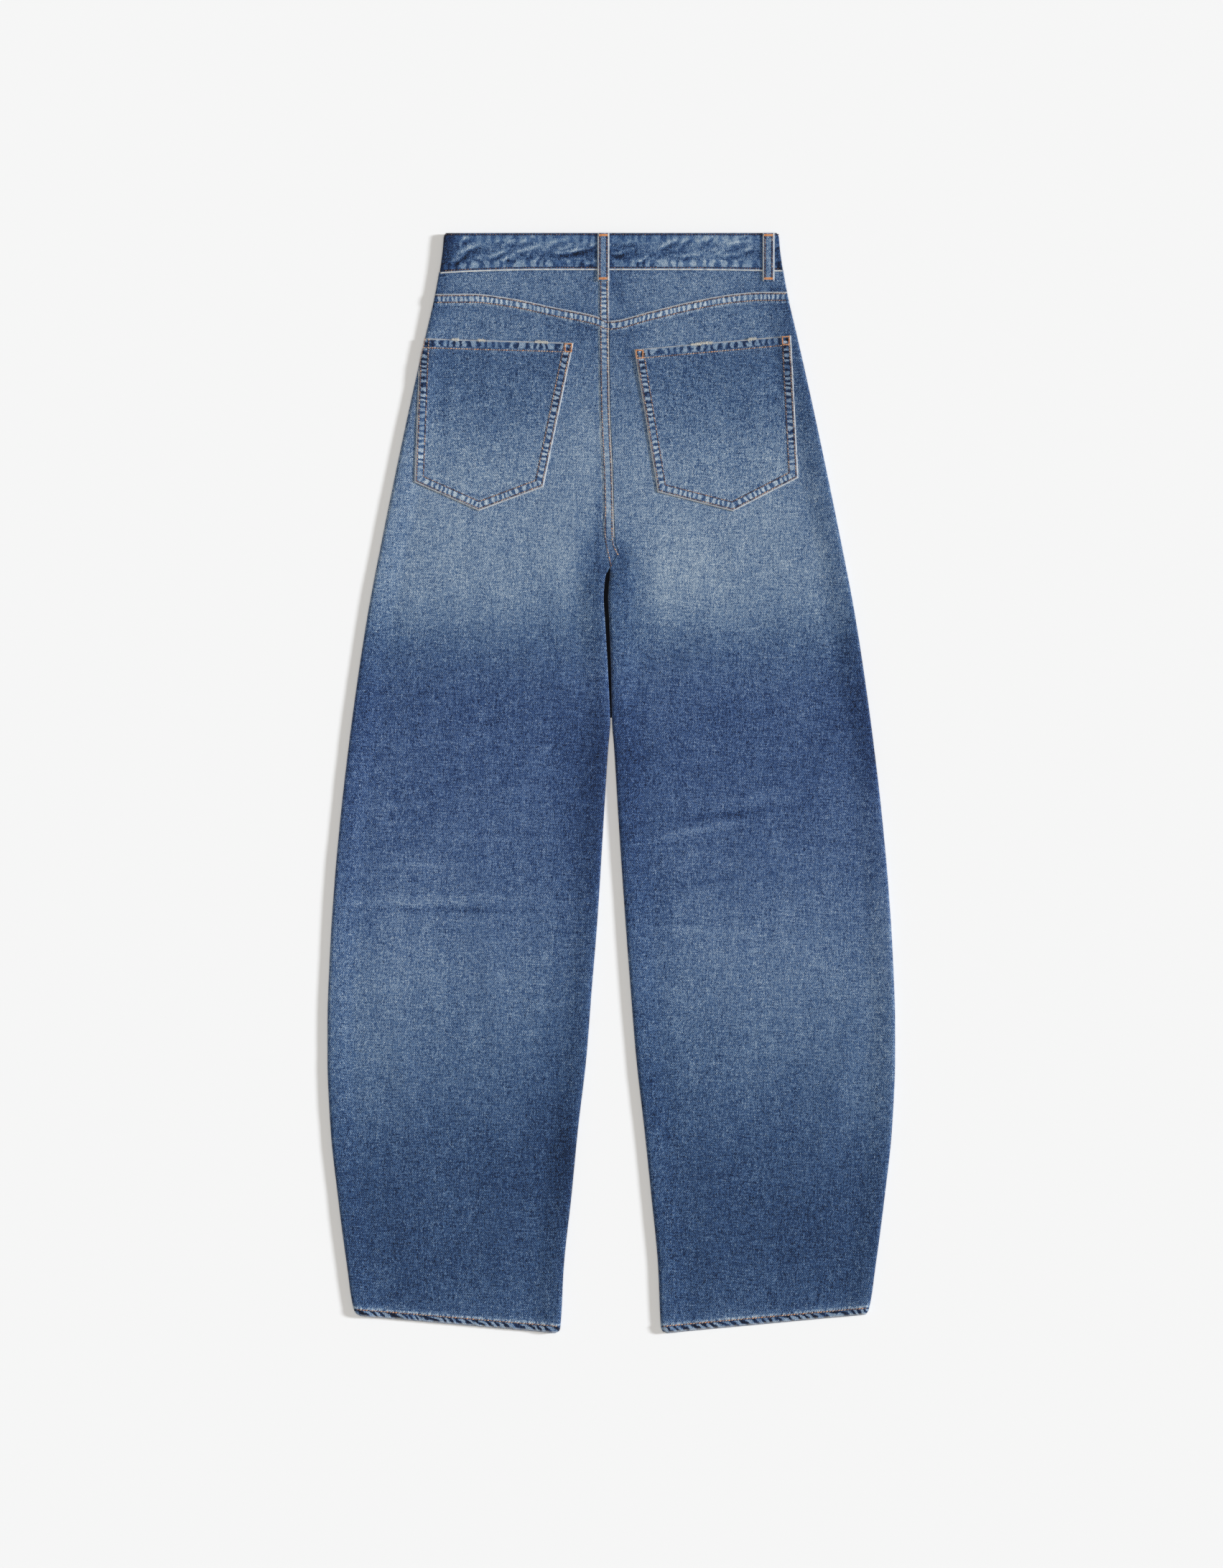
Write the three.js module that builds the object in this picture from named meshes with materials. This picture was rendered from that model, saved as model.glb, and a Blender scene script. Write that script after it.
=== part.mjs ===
import * as THREE from "three";

// Barrel leg denim trousers, laid flat with the back upward.
// Millimetres: x to the right as seen from above, y toward the waist, z up; the middle of the length is y = 0.
// "down" is a distance from the top of the waistband toward the hems.
// side is -1 for the left half and +1 for the right half.

const LENGTH = 1071.7;
const CLOTH = 1.2;
const BAND_CLOTH = 2.0;
const LOOP_CLOTH = 1.3;
const SEAM_GAP = 0.3;
const LIE_GAP = 0.5;

const LEG_RADIUS = 2.4;
const WAIST_RADIUS = 1.25;
const LEG_LOW = 0.6;
const WAIST_LOW = 3.5;
const RISE_FROM = 128;
const RISE_TO = 54;
const REST_HEIGHT = 3.0;
const BULGE_REACH = 26;

const SIDE_LIP = { left: 20, right: 9 };
const INNER_LIP = 8;
const CURL_FROM = 326;
const CURL_OVER = 18;

const WAISTBAND_DEPTH = 36.2;
const FRONT_DIP = 10;
const FRONT_CENTRE = 7.7;
const FELL_WIDTH = 8.6;
const FELL_RAISE = 0.8;
const HEM_WIDTH = 8;
const HEM_RAISE = 0.7;
const HEM_SLANT = { left: 16.8, right: 18.2 };

// rows of the leg panels, from the yoke seam to the hem
const LEG_ROWS = [
  57.6, 61.9, 66.2, 68.2, 76, 92, 115, 145, 180, 215, 250, 280, 300, 306, 311, 318, 326, 330, 334, 338,
  344, 356, 376, 400, 438, 476, 502, 550, 610, 670, 735, 800, 860, 920, 975, 1020,
  1050, 1062, 1064, 1067, 1071.7,
];
const YOKE_ROWS = [0, 0.12, 0.4, 0.7, 1];

const LOOP_WIDTH = 11.6;
const LOOP_LENGTH = 47;
const BUTTON_RADIUS = 8.5;
const BUTTON_HEIGHT = 2.2;

// half width of the whole garment, row by row
const OUTLINE = [
  { down: 0, half: 162.9 },
  { down: 14.7, half: 164.2 },
  { down: 35.7, half: 167.3 },
  { down: 65.1, half: 172.7 },
  { down: 98.7, half: 180.6 },
  { down: 165.9, half: 195.7 },
  { down: 233.1, half: 210 },
  { down: 300.3, half: 223.7 },
  { down: 367.5, half: 236.6 },
  { down: 434.7, half: 247.1 },
  { down: 501.9, half: 256.1 },
  { down: 569.1, half: 263.8 },
  { down: 636.3, half: 269.9 },
  { down: 703.5, half: 274.2 },
  { down: 770.7, half: 276.5 },
  { down: 804.3, half: 276.5 },
  { down: 871.5, half: 273.6 },
  { down: 938.7, half: 266.4 },
  { down: 1005.9, half: 257.6 },
  { down: 1049, half: 250.9 },
  { down: 1053.5, half: 248 },
  { down: 1055, half: 245 },
];

// where the left and the right half end toward the middle:
// the centre seam, then the gap between the legs
const MIDDLE = [
  { down: 0, left: -2.3, right: -2.0 },
  { down: 52.5, left: -2.3, right: -2.0 },
  { down: 156.1, left: -1.6, right: -1.3 },
  { down: 234.5, left: 1.5, right: 1.8 },
  { down: 300, left: 3.4, right: 3.7 },
  { down: 310.8, left: 6.4, right: 6.8 },
  { down: 318, left: 2.9, right: 3.4 },
  { down: 326, left: -1.2, right: -0.6 },
  { down: 335, left: -5.6, right: -1.8 },
  { down: 356, left: -7.2, right: -3.3 },
  { down: 376, left: -6.0, right: -2.4 },
  { down: 423.5, left: -3.2, right: -0.5 },
  { down: 476, left: -0.9, right: 0.6 },
  { down: 501.9, left: -3.0, right: 2.7 },
  { down: 569.1, left: -7.2, right: 6.8 },
  { down: 669.9, left: -13.5, right: 13.7 },
  { down: 737.1, left: -19.0, right: 18.8 },
  { down: 804.3, left: -24.3, right: 24.3 },
  { down: 871.5, left: -32.2, right: 32.0 },
  { down: 938.7, left: -38.8, right: 39.0 },
  { down: 1005.9, left: -46.1, right: 45.5 },
  { down: 1066, left: -49.6, right: 48.3 },
  { down: 1070.4, left: -51, right: 50 },
  { down: 1071.7, left: -54, right: 53.4 },
];

// the seam between the fronts, on the underside
const FRONT_SEAM = [
  { down: 0, x: 7.7 },
  { down: 150, x: 6.2 },
  { down: 250, x: 3.2 },
  { down: 305, x: 0.4 },
  { down: 326, x: -0.9 },
];

// top edge of the felled seam under the yokes
const YOKE_SEAM = [
  { x: -175, down: 59.5 },
  { x: -136, down: 59.2 },
  { x: -97, down: 63.7 },
  { x: -57, down: 72.1 },
  { x: -16, down: 80.5 },
  { x: -2, down: 85.4 },
  { x: 38, down: 76.3 },
  { x: 79, down: 66.5 },
  { x: 119, down: 59.5 },
  { x: 146, down: 57.4 },
  { x: 175, down: 57.4 },
];

// soft folds of the upper layer: where, how long and wide, how turned, how high
const SOFT_FOLDS = [
  { x: -120, down: 690, long: 190, wide: 34, turn: 84, rise: 0.7 },
  { x: 130, down: 640, long: 170, wide: 30, turn: 97, rise: 0.6 },
  { x: -200, down: 830, long: 150, wide: 28, turn: 78, rise: 0.6 },
  { x: 215, down: 850, long: 160, wide: 26, turn: 103, rise: 0.7 },
  { x: -70, down: 420, long: 110, wide: 22, turn: 40, rise: 0.6 },
  { x: 66, down: 430, long: 120, wide: 24, turn: 138, rise: 0.7 },
  { x: -150, down: 520, long: 130, wide: 30, turn: 12, rise: 0.5 },
  { x: 165, down: 530, long: 140, wide: 28, turn: 168, rise: 0.5 },
  { x: 100, down: 960, long: 120, wide: 26, turn: 92, rise: 0.6 },
  { x: -110, down: 980, long: 130, wide: 28, turn: 86, rise: 0.5 },
];

// corners of the back pockets, as laid out flat on the cloth
const POCKETS = {
  left: {
    top: [{ x: -186.5, down: 102.6 }, { x: -36.7, down: 106.9 }],
    bottom: [{ x: -192, down: 242.9 }, { x: -129, down: 270.9 }, { x: -66, down: 247.5 }],
  },
  right: {
    top: [{ x: 22.2, down: 113.4 }, { x: 175.1, down: 99.8 }],
    bottom: [{ x: 45, down: 252.5 }, { x: 118.6, down: 271.3 }, { x: 182.3, down: 238.7 }],
  },
};

const DENIM = { color: 0x4a6384, roughness: 0.9, metalness: 0 };
const DENIM_PALE = { color: 0x62799a, roughness: 0.9, metalness: 0 };
const DENIM_DARK = { color: 0x3c5272, roughness: 0.9, metalness: 0 };
const COPPER = { color: 0x9a7350, roughness: 0.4, metalness: 0.9 };

/** A smooth curve through a table's rows that never overshoots them. */
class Curve {
  constructor(table, from, to) {
    this.at0 = table.map((row) => row[from]);
    this.to0 = table.map((row) => row[to]);
    const chord = (x, i) => (this.to0[i + 1] - this.to0[i]) / (x - this.at0[i]);
    const chords = this.at0.slice(1).map(chord);
    this.slopes = this.at0.map((_, i) => {
      const before = chords[i - 1];
      const after = chords[i];
      if (before === undefined) return after;
      if (after === undefined) return before;
      return before * after <= 0 ? 0 : (2 * before * after) / (before + after);
    });
  }

  at(value) {
    const { at0, to0, slopes } = this;
    const last = at0.length - 1;
    if (value <= at0[0]) return to0[0];
    if (value >= at0[last]) return to0[last];
    const i = at0.findIndex((x) => x > value) - 1;
    const step = at0[i + 1] - at0[i];
    const t = (value - at0[i]) / step;
    const start = to0[i] * (1 + 2 * t) * (1 - t) ** 2 + step * slopes[i] * t * (1 - t) ** 2;
    const end = to0[i + 1] * t ** 2 * (3 - 2 * t) + step * slopes[i + 1] * t ** 2 * (t - 1);
    return start + end;
  }
}

const outline = new Curve(OUTLINE, "down", "half");
const middleLeft = new Curve(MIDDLE, "down", "left");
const middleRight = new Curve(MIDDLE, "down", "right");
const frontSeam = new Curve(FRONT_SEAM, "down", "x");
const yokeSeam = new Curve(YOKE_SEAM, "x", "down");

const lerp = (a, b, t) => a + (b - a) * t;
const clamp = (v) => Math.min(1, Math.max(0, v));
const smooth = (v) => clamp(v) ** 2 * (3 - 2 * clamp(v));
const between = (from, to, v) => smooth((v - from) / (to - from));
const sideName = (side) => (side < 0 ? "left" : "right");

const outerX = (side, down) => side * outline.at(down);
const innerX = (side, down) => (side < 0 ? middleLeft : middleRight).at(down);

/** Lower edge of the waistband, as a distance down. */
function waistSeam(x) {
  const past = Math.max(0, Math.abs(x) - 60) / 105;
  return WAISTBAND_DEPTH + (x < 0 ? 3.2 : 1.4) * past ** 2;
}

/** How far the waist is lower at the front, on the underside. */
function frontDip(x) {
  return FRONT_DIP * smooth(1 - Math.abs(x - FRONT_CENTRE) / 145);
}

/** Height of the middle of the under layer's cloth. */
function lowHeight(down) {
  return lerp(LEG_LOW, WAIST_LOW, between(RISE_FROM, RISE_TO, down));
}

function foldRadius(down) {
  return lerp(LEG_RADIUS, WAIST_RADIUS, between(RISE_FROM, RISE_TO, down));
}

function softFold(fold, x, down) {
  const turn = (fold.turn * Math.PI) / 180;
  const along = (x - fold.x) * Math.cos(turn) + (down - fold.down) * Math.sin(turn);
  const across = (down - fold.down) * Math.cos(turn) - (x - fold.x) * Math.sin(turn);
  return fold.rise * Math.exp(-((along / fold.long) ** 2) * 4 - ((across / fold.wide) ** 2) * 4);
}

/** Share of the curl round the inner leg: 0 above the fork, 1 below it. */
function curlShare(down) {
  return between(CURL_FROM, CURL_FROM + CURL_OVER, down);
}

function curlLength(down) {
  return curlShare(down) * (Math.PI * foldRadius(down) + INNER_LIP);
}

/** Height of the middle of the upper layer's cloth, between the folds. */
function highHeight(side, x, down) {
  const top = lowHeight(down) + 2 * foldRadius(down);
  const rest = lerp(REST_HEIGHT, top, between(RISE_FROM, RISE_TO, down));
  const waves = SOFT_FOLDS.reduce((sum, fold) => sum + softFold(fold, x, down), 0);
  const fromOuter = Math.abs(outerX(side, down) - x) - CLOTH / 2 - foldRadius(down);
  const fromInner = Math.abs(innerX(side, down) - x) - CLOTH / 2 - foldRadius(down);
  const outer = smooth(1 - fromOuter / BULGE_REACH);
  const curled = clamp(curlLength(down) / (foldRadius(down) * 1.5));
  const inner = smooth(1 - fromInner / BULGE_REACH) * curled;
  const bulge = Math.max(outer, inner);
  return lerp(rest + waves * between(RISE_TO, RISE_FROM, down), top, bulge);
}

/** A point of the cloth's middle surface and its outward direction in the section. */
const spot = (x, z, nx, nz) => ({ x, z, nx, nz });

/** Upper layer near the outer fold; arc is measured from the fold's outermost line, plus is upward. */
function overOuterFold(side, down, arc, cloth = CLOTH) {
  const radius = foldRadius(down);
  const quarter = (Math.PI / 2) * radius;
  const edge = outerX(side, down) - (side * cloth) / 2;
  const low = lowHeight(down);
  if (arc < -quarter) return spot(edge - side * (radius - arc - quarter), low, 0, -1);
  if (arc <= quarter) {
    const angle = arc / radius;
    const x = edge - side * (radius - radius * Math.cos(angle));
    return spot(x, low + radius + radius * Math.sin(angle), side * Math.cos(angle), Math.sin(angle));
  }
  const x = edge - side * (radius + arc - quarter);
  return spot(x, highHeight(side, x, down), 0, 1);
}

/** Upper layer near its inner end; rest is the cloth left before that end. */
function nearInnerEnd(side, down, rest) {
  const radius = foldRadius(down);
  const curl = curlLength(down);
  const turned = Math.sin(Math.min(curl / radius, Math.PI / 2));
  const start = innerX(side, down) + side * (radius + CLOTH / 2) * turned;
  if (rest >= curl) {
    const x = start + side * (rest - curl);
    return spot(x, highHeight(side, x, down), 0, 1);
  }
  const angle = (curl - rest) / radius;
  const top = highHeight(side, start, down);
  if (angle > Math.PI) {
    return spot(start + side * (curl - rest - Math.PI * radius), top - 2 * radius, 0, -1);
  }
  const x = start - side * radius * Math.sin(angle);
  return spot(x, top - radius + radius * Math.cos(angle), -side * Math.sin(angle), Math.cos(angle));
}

/** Columns of an upper piece, from the end of its outer lip to its inner end. */
function backColumns(middles) {
  const lip = [1, 0.5].map((share) => ({ lip: share }));
  const arc = [-90, -60, -30, 0, 30, 60, 90].map((angle) => ({ angle }));
  const near = [2.5, 6, 10.5, 16.5, 25].map((past) => ({ past }));
  const middle = Array.from({ length: middles }, (_, i) => ({ share: (i + 1) / (middles + 1) }));
  const curl = [24, 18, 15.5, 14.3, 13, 11.8, 10.5, 9.3, 8, 4, 0].map((rest) => ({ rest }));
  return [...lip, ...arc, ...near, ...middle, ...curl];
}

function backSpot(side, column, downAt) {
  const outerDown = downAt(0);
  const innerDown = downAt(1);
  const radius = foldRadius(outerDown);
  const quarter = (Math.PI / 2) * radius;
  const near = (past) => overOuterFold(side, outerDown, quarter + past);
  if (column.lip) {
    const length = SIDE_LIP[sideName(side)] * column.lip;
    return { ...overOuterFold(side, outerDown, -quarter - length), down: outerDown };
  }
  if (column.angle !== undefined) {
    const arc = (radius * column.angle * Math.PI) / 180;
    return { ...overOuterFold(side, outerDown, arc), down: outerDown };
  }
  const from = near(25).x;
  const to = nearInnerEnd(side, innerDown, 24).x;
  const width = Math.abs(innerX(side, innerDown) - outerX(side, outerDown));
  const shareOf = (x) => Math.abs(x - outerX(side, outerDown)) / width;
  const found = column.past === undefined
    ? nearInnerEnd(side, innerDown, column.rest ?? 24)
    : near(column.past);
  const x = column.share === undefined ? found.x : lerp(from, to, column.share);
  const down = downAt(shareOf(x));
  if (column.rest < 24 && curlLength(innerDown) > 0) return { ...found, down };
  return { ...spot(x, highHeight(side, x, down), 0, 1), down };
}

/** Raise of the felled seams above the cloth: the band along the yokes and the one down the centre. */
function fellRaise(side, x, down) {
  const below = down - yokeSeam.at(x);
  const across = below < 0 ? 0 : between(FELL_WIDTH + 2, FELL_WIDTH, below);
  const fromCentre = Math.abs(innerX(side, down) - x);
  const felled = side < 0 ? 1 - curlShare(down + 10) : 0;
  const centre = between(FELL_WIDTH + 2, FELL_WIDTH, fromCentre) * felled;
  return FELL_RAISE * Math.max(across, centre);
}

/** Closed solid from a grid of rows of spots, each with its thickness outward and inward. */
function sheet(name, look, rows) {
  const across = rows[0].length;
  const faces = [];
  const quad = (a, b, c, d) => faces.push([a, b, c], [a, c, d]);
  const at = (row, column, layer) => (row * across + column) * 2 + layer;
  const points = rows.flat().flatMap((p) => [
    [p.x + p.nx * p.out, LENGTH / 2 - p.down, p.z + p.nz * p.out],
    [p.x - p.nx * p.in, LENGTH / 2 - p.down, p.z - p.nz * p.in],
  ]);
  const last = rows.length - 1;
  for (let r = 0; r < last; r++) {
    for (let c = 0; c < across - 1; c++) {
      quad(at(r, c, 0), at(r + 1, c, 0), at(r + 1, c + 1, 0), at(r, c + 1, 0));
      quad(at(r, c, 1), at(r, c + 1, 1), at(r + 1, c + 1, 1), at(r + 1, c, 1));
    }
    quad(at(r, 0, 0), at(r, 0, 1), at(r + 1, 0, 1), at(r + 1, 0, 0));
    quad(at(r, across - 1, 0), at(r + 1, across - 1, 0), at(r + 1, across - 1, 1), at(r, across - 1, 1));
  }
  for (let c = 0; c < across - 1; c++) {
    quad(at(0, c, 0), at(0, c + 1, 0), at(0, c + 1, 1), at(0, c, 1));
    quad(at(last, c, 0), at(last, c, 1), at(last, c + 1, 1), at(last, c + 1, 0));
  }
  return solid(name, look, points, faces);
}

/** Mesh of a closed surface, turned outward whatever the order of its faces. */
function solid(name, look, points, faces) {
  const volume = faces.reduce((sum, [a, b, c]) => {
    const [p, q, r] = [points[a], points[b], points[c]];
    const cross = [q[1] * r[2] - q[2] * r[1], q[2] * r[0] - q[0] * r[2], q[0] * r[1] - q[1] * r[0]];
    return sum + p[0] * cross[0] + p[1] * cross[1] + p[2] * cross[2];
  }, 0);
  const turned = volume < 0 ? faces.map(([a, b, c]) => [a, c, b]) : faces;
  const geometry = new THREE.BufferGeometry();
  geometry.setAttribute("position", new THREE.Float32BufferAttribute(points.flat(), 3));
  geometry.setIndex(turned.flat());
  geometry.computeVertexNormals();
  const mesh = new THREE.Mesh(geometry, new THREE.MeshStandardMaterial(look));
  mesh.name = name;
  return mesh;
}

/** How far down each place of a leg row lies, by its share from the outer fold to the inner end. */
function legRow(side, nominal) {
  const topWeight = between(190, 70, nominal);
  const hemWeight = between(830, 1060, nominal);
  const width = innerX(side, nominal) - outerX(side, nominal);
  return (share) => {
    const x = outerX(side, nominal) + share * width;
    const dip = (yokeSeam.at(x) - LEG_ROWS[0] + SEAM_GAP) * topWeight;
    return nominal + dip - HEM_SLANT[sideName(side)] * (1 - share) * hemWeight;
  };
}

/** The same for a row of the yoke, by its share of the way from the waistband to the yoke seam. */
function yokeRow(side, share) {
  const base = lerp(WAISTBAND_DEPTH, LEG_ROWS[0], share);
  const width = innerX(side, base) - outerX(side, base);
  return (across) => {
    const x = outerX(side, base) + across * width;
    return lerp(waistSeam(x) + SEAM_GAP, yokeSeam.at(x), share);
  };
}

/** Share of the turned-up hem's extra thickness at a row. */
function hemShare(nominal) {
  return between(LENGTH - HEM_WIDTH - 1.5, LENGTH - HEM_WIDTH, nominal);
}

/** Back leg panel: round the outer fold, up to the centre seam, and round the inner leg below the fork. */
function backPanel(side) {
  const columns = backColumns(7);
  const rows = LEG_ROWS.map((nominal) => {
    const downAt = legRow(side, nominal);
    const hem = HEM_RAISE * hemShare(nominal);
    return columns.map((column) => {
      const p = backSpot(side, column, downAt);
      const onTop = p.nz > 0.99;
      const flat = onTop ? between(4, 10, Math.abs(outerX(side, p.down) - p.x)) : 0;
      const raise = onTop ? fellRaise(side, p.x, p.down) : 0;
      return { ...p, out: CLOTH / 2 + hem * flat + raise, in: CLOTH / 2 + hem * (1 - flat) * 0.6 };
    });
  });
  return sheet(`back_${sideName(side)}`, DENIM, rows);
}

/** Yoke: from the waistband to the felled seam, round the outer fold to the underside. */
function yoke(side) {
  const kept = [24, 18, 10.5, 8, 4, 0];
  const columns = backColumns(6).filter(({ rest }) => rest === undefined || kept.includes(rest));
  const rows = YOKE_ROWS.map((share) => columns.map((column) => {
    const p = backSpot(side, column, yokeRow(side, share));
    const raise = p.nz > 0.99 ? fellRaise(side, p.x, p.down - 20) : 0;
    return { ...p, out: CLOTH / 2 + raise, in: CLOTH / 2 };
  }));
  return sheet(`yoke_${sideName(side)}`, DENIM_PALE, rows);
}

/** Front leg panel: lies on the surface, between the lips of the back panel, and rises to the waistband. */
function frontPanel(side) {
  const lip = SIDE_LIP[sideName(side)];
  const shares = [0, 0.1, 0.35, 0.65, 0.9, 1];
  const upper = YOKE_ROWS.slice(0, -1).map((share) => ({
    nominal: lerp(39, 58, share),
    outerDown: yokeRow(side, share)(0),
  }));
  const lower = LEG_ROWS.map((nominal) => ({
    nominal,
    outerDown: legRow(side, nominal)(0),
    slanted: nominal > 600,
  }));
  const rows = [...upper, ...lower].map(({ nominal, outerDown, slanted }) => {
    const dipShare = clamp((160 - nominal) / 121);
    const hem = HEM_RAISE * hemShare(nominal);
    const from = outerX(side, outerDown) - side * (CLOTH / 2 + foldRadius(outerDown) + lip + SEAM_GAP);
    const to = frontInnerX(side, nominal);
    const width = innerX(side, nominal) - outerX(side, outerDown);
    const reach = (to - outerX(side, outerDown)) / width;
    const innerDown = slanted ? legRow(side, nominal)(reach) : Math.max(nominal, outerDown);
    return shares.map((share) => {
      const x = lerp(from, to, share);
      const plain = lerp(outerDown, innerDown, share);
      const z = lowHeight(plain);
      const down = plain + frontDip(x) * dipShare;
      return { x, z, nx: 0, nz: -1, down, out: CLOTH / 2, in: CLOTH / 2 + hem };
    });
  });
  return sheet(`front_${sideName(side)}`, DENIM_DARK, rows);
}

/** Inner edge of a front panel: the centre front seam, then the seam along the inner leg. */
function frontInnerX(side, down) {
  if (down <= CURL_FROM) return frontSeam.at(down) + (side * SEAM_GAP) / 2;
  const started = (down - CURL_FROM) / CURL_OVER;
  const radius = foldRadius(down);
  const retreat = (CLOTH / 2 + radius + SEAM_GAP) * smooth((started - 0.05) / 0.25);
  return innerX(side, down) + side * (retreat + Math.max(0, curlLength(down) - Math.PI * radius));
}

/** Waistband: one strip from the centre front round the left fold, over the back and round the right fold. */
function waistband() {
  const folds = [-90, -60, -30, 0, 30, 60, 90];
  const flats = (count) => Array.from({ length: count }, (_, i) => (i + 1) / (count + 1));
  const columns = [
    ...[...flats(7), 1].reverse().map((share) => ({ under: -1, share })),
    ...folds.map((angle) => ({ side: -1, angle })),
    ...flats(20).map((share) => ({ over: share })),
    ...folds.map((angle) => ({ side: 1, angle: -angle })),
    ...[...flats(7), 1].map((share) => ({ under: 1, share })),
  ];
  const rows = [0, 0.06, 0.3, 0.6, 0.94, 1].map((v) => {
    const thick = v === 0 || v === 1 ? BAND_CLOTH * 0.36 : BAND_CLOTH / 2;
    return columns.map((column) => ({ ...bandSpot(column, v), out: thick, in: thick }));
  });
  return sheet("waistband", DENIM_PALE, rows);
}

function bandSpot(column, v) {
  const edgeDown = (side) => v * waistSeam(outerX(side, WAISTBAND_DEPTH));
  const edge = (side) => outerX(side, edgeDown(side)) - side * (BAND_CLOTH / 2 + WAIST_RADIUS);
  if (column.angle !== undefined) {
    const angle = (column.angle * Math.PI) / 180;
    const x = edge(column.side) + column.side * WAIST_RADIUS * Math.cos(angle);
    const z = WAIST_LOW + WAIST_RADIUS + WAIST_RADIUS * Math.sin(angle);
    return { x, z, nx: column.side * Math.cos(angle), nz: Math.sin(angle), down: edgeDown(column.side) };
  }
  if (column.over !== undefined) {
    const x = lerp(edge(-1), edge(1), column.over);
    return { x, z: WAIST_LOW + 2 * WAIST_RADIUS, nx: 0, nz: 1, down: v * waistSeam(x) };
  }
  const side = column.under;
  const end = FRONT_CENTRE + side * SEAM_GAP;
  const x = lerp(edge(side), end, column.share);
  return { x, z: WAIST_LOW, nx: 0, nz: -1, down: edgeDown(side) + frontDip(x) };
}

/** Back pocket: five-cornered patch made from the points of the panel under it, moved out. */
function pocket(side) {
  const { top, bottom } = POCKETS[sideName(side)];
  const tipShare = (bottom[1].x - bottom[0].x) / (bottom[2].x - bottom[0].x);
  const half = [0, 0.03, 0.07, 0.16, 0.32, 0.6];
  const before = half.map((share) => share * tipShare);
  const after = half.map((share) => 1 - share * (1 - tipShare)).reverse();
  const shares = [...before, tipShare, ...after];
  const lowEdge = (u) => (u < tipShare
    ? lerp(bottom[0].down, bottom[1].down, u / tipShare)
    : lerp(bottom[1].down, bottom[2].down, (u - tipShare) / (1 - tipShare)));
  const rows = [0, 0.03, 0.07, 0.14, 0.22, 0.32, 0.48, 0.64, 0.8, 0.96, 1].map((v) => {
    const ends = [0, 1].map((u) => {
      const down = lerp(lerp(top[0].down, top[1].down, u), lowEdge(u), v);
      const limit = outline.at(down) - 1.4;
      return Math.max(-limit, Math.min(limit, lerp(top[u].x, bottom[2 * u].x, v)));
    });
    return shares.map((u) => pocketSpot(side, lerp(ends[0], ends[1], u), {
      down: lerp(lerp(top[0].down, top[1].down, u), lowEdge(u), v),
      raised: u < 0.03 || u > 0.97 || v < 0.1 || v > 0.95,
    }));
  });
  return sheet(`pocket_${sideName(side)}`, DENIM_DARK, rows);
}

function pocketSpot(side, flatX, { down, raised }) {
  const radius = foldRadius(down);
  const edge = outerX(side, down) - side * (CLOTH / 2 + radius);
  const arc = side * (edge - flatX) + (Math.PI / 2) * radius;
  const from = CLOTH / 2 + LIE_GAP;
  return { ...overOuterFold(side, down, arc), down, out: from + CLOTH + (raised ? 0.25 : 0), in: -from };
}

/** Height of the top of whatever lies at a place on the back near the waist. */
function topAt(x, down) {
  if (down < waistSeam(x)) return WAIST_LOW + 2 * WAIST_RADIUS + BAND_CLOTH / 2;
  const side = x < innerX(-1, down) ? -1 : 1;
  return highHeight(side, x, down) + CLOTH / 2 + fellRaise(side, x, down < yokeSeam.at(x) ? down - 20 : down);
}

/** Belt loop on the back: lies on the waistband and reaches down on the yoke. */
function backLoop(name, centre) {
  const acrossShares = [0, 0.12, 0.5, 0.88, 1];
  const rows = [0.2, 3, 6, 14, 24, 33, 37, 41, 44.5, LOOP_LENGTH].map((down, i, all) => {
    const places = acrossShares.map((u) => centre + (u - 0.5) * LOOP_WIDTH);
    const reach = [down - 3, down, down + 3].flatMap((d) => places.map((x) => topAt(x, Math.max(0, d))));
    const z = Math.max(...reach) + SEAM_GAP;
    const doubled = i < 2 || i > all.length - 3 ? 0.3 : 0;
    return places.map((x, c) => {
      const edge = c === 0 || c === 4 ? 0.3 : 0;
      return { x, z, nx: 0, nz: 1, down, out: LOOP_CLOTH + doubled - edge, in: 0 };
    });
  });
  return sheet(name, DENIM, rows);
}

/** Belt loop on the underside, against the front of the waistband and the top of the front. */
function frontLoop(name, centre) {
  const z = WAIST_LOW - BAND_CLOTH / 2 - SEAM_GAP;
  const rows = [0.3, 4, 20, 36, LOOP_LENGTH].map((past) => [0, 0.12, 0.88, 1].map((u, c) => {
    const x = centre + (u - 0.5) * LOOP_WIDTH;
    const edge = c === 0 || c === 3 ? 0.3 : 0;
    return { x, z, nx: 0, nz: -1, down: past + frontDip(x), out: LOOP_CLOTH - edge, in: 0 };
  }));
  return sheet(name, DENIM, rows);
}

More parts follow.
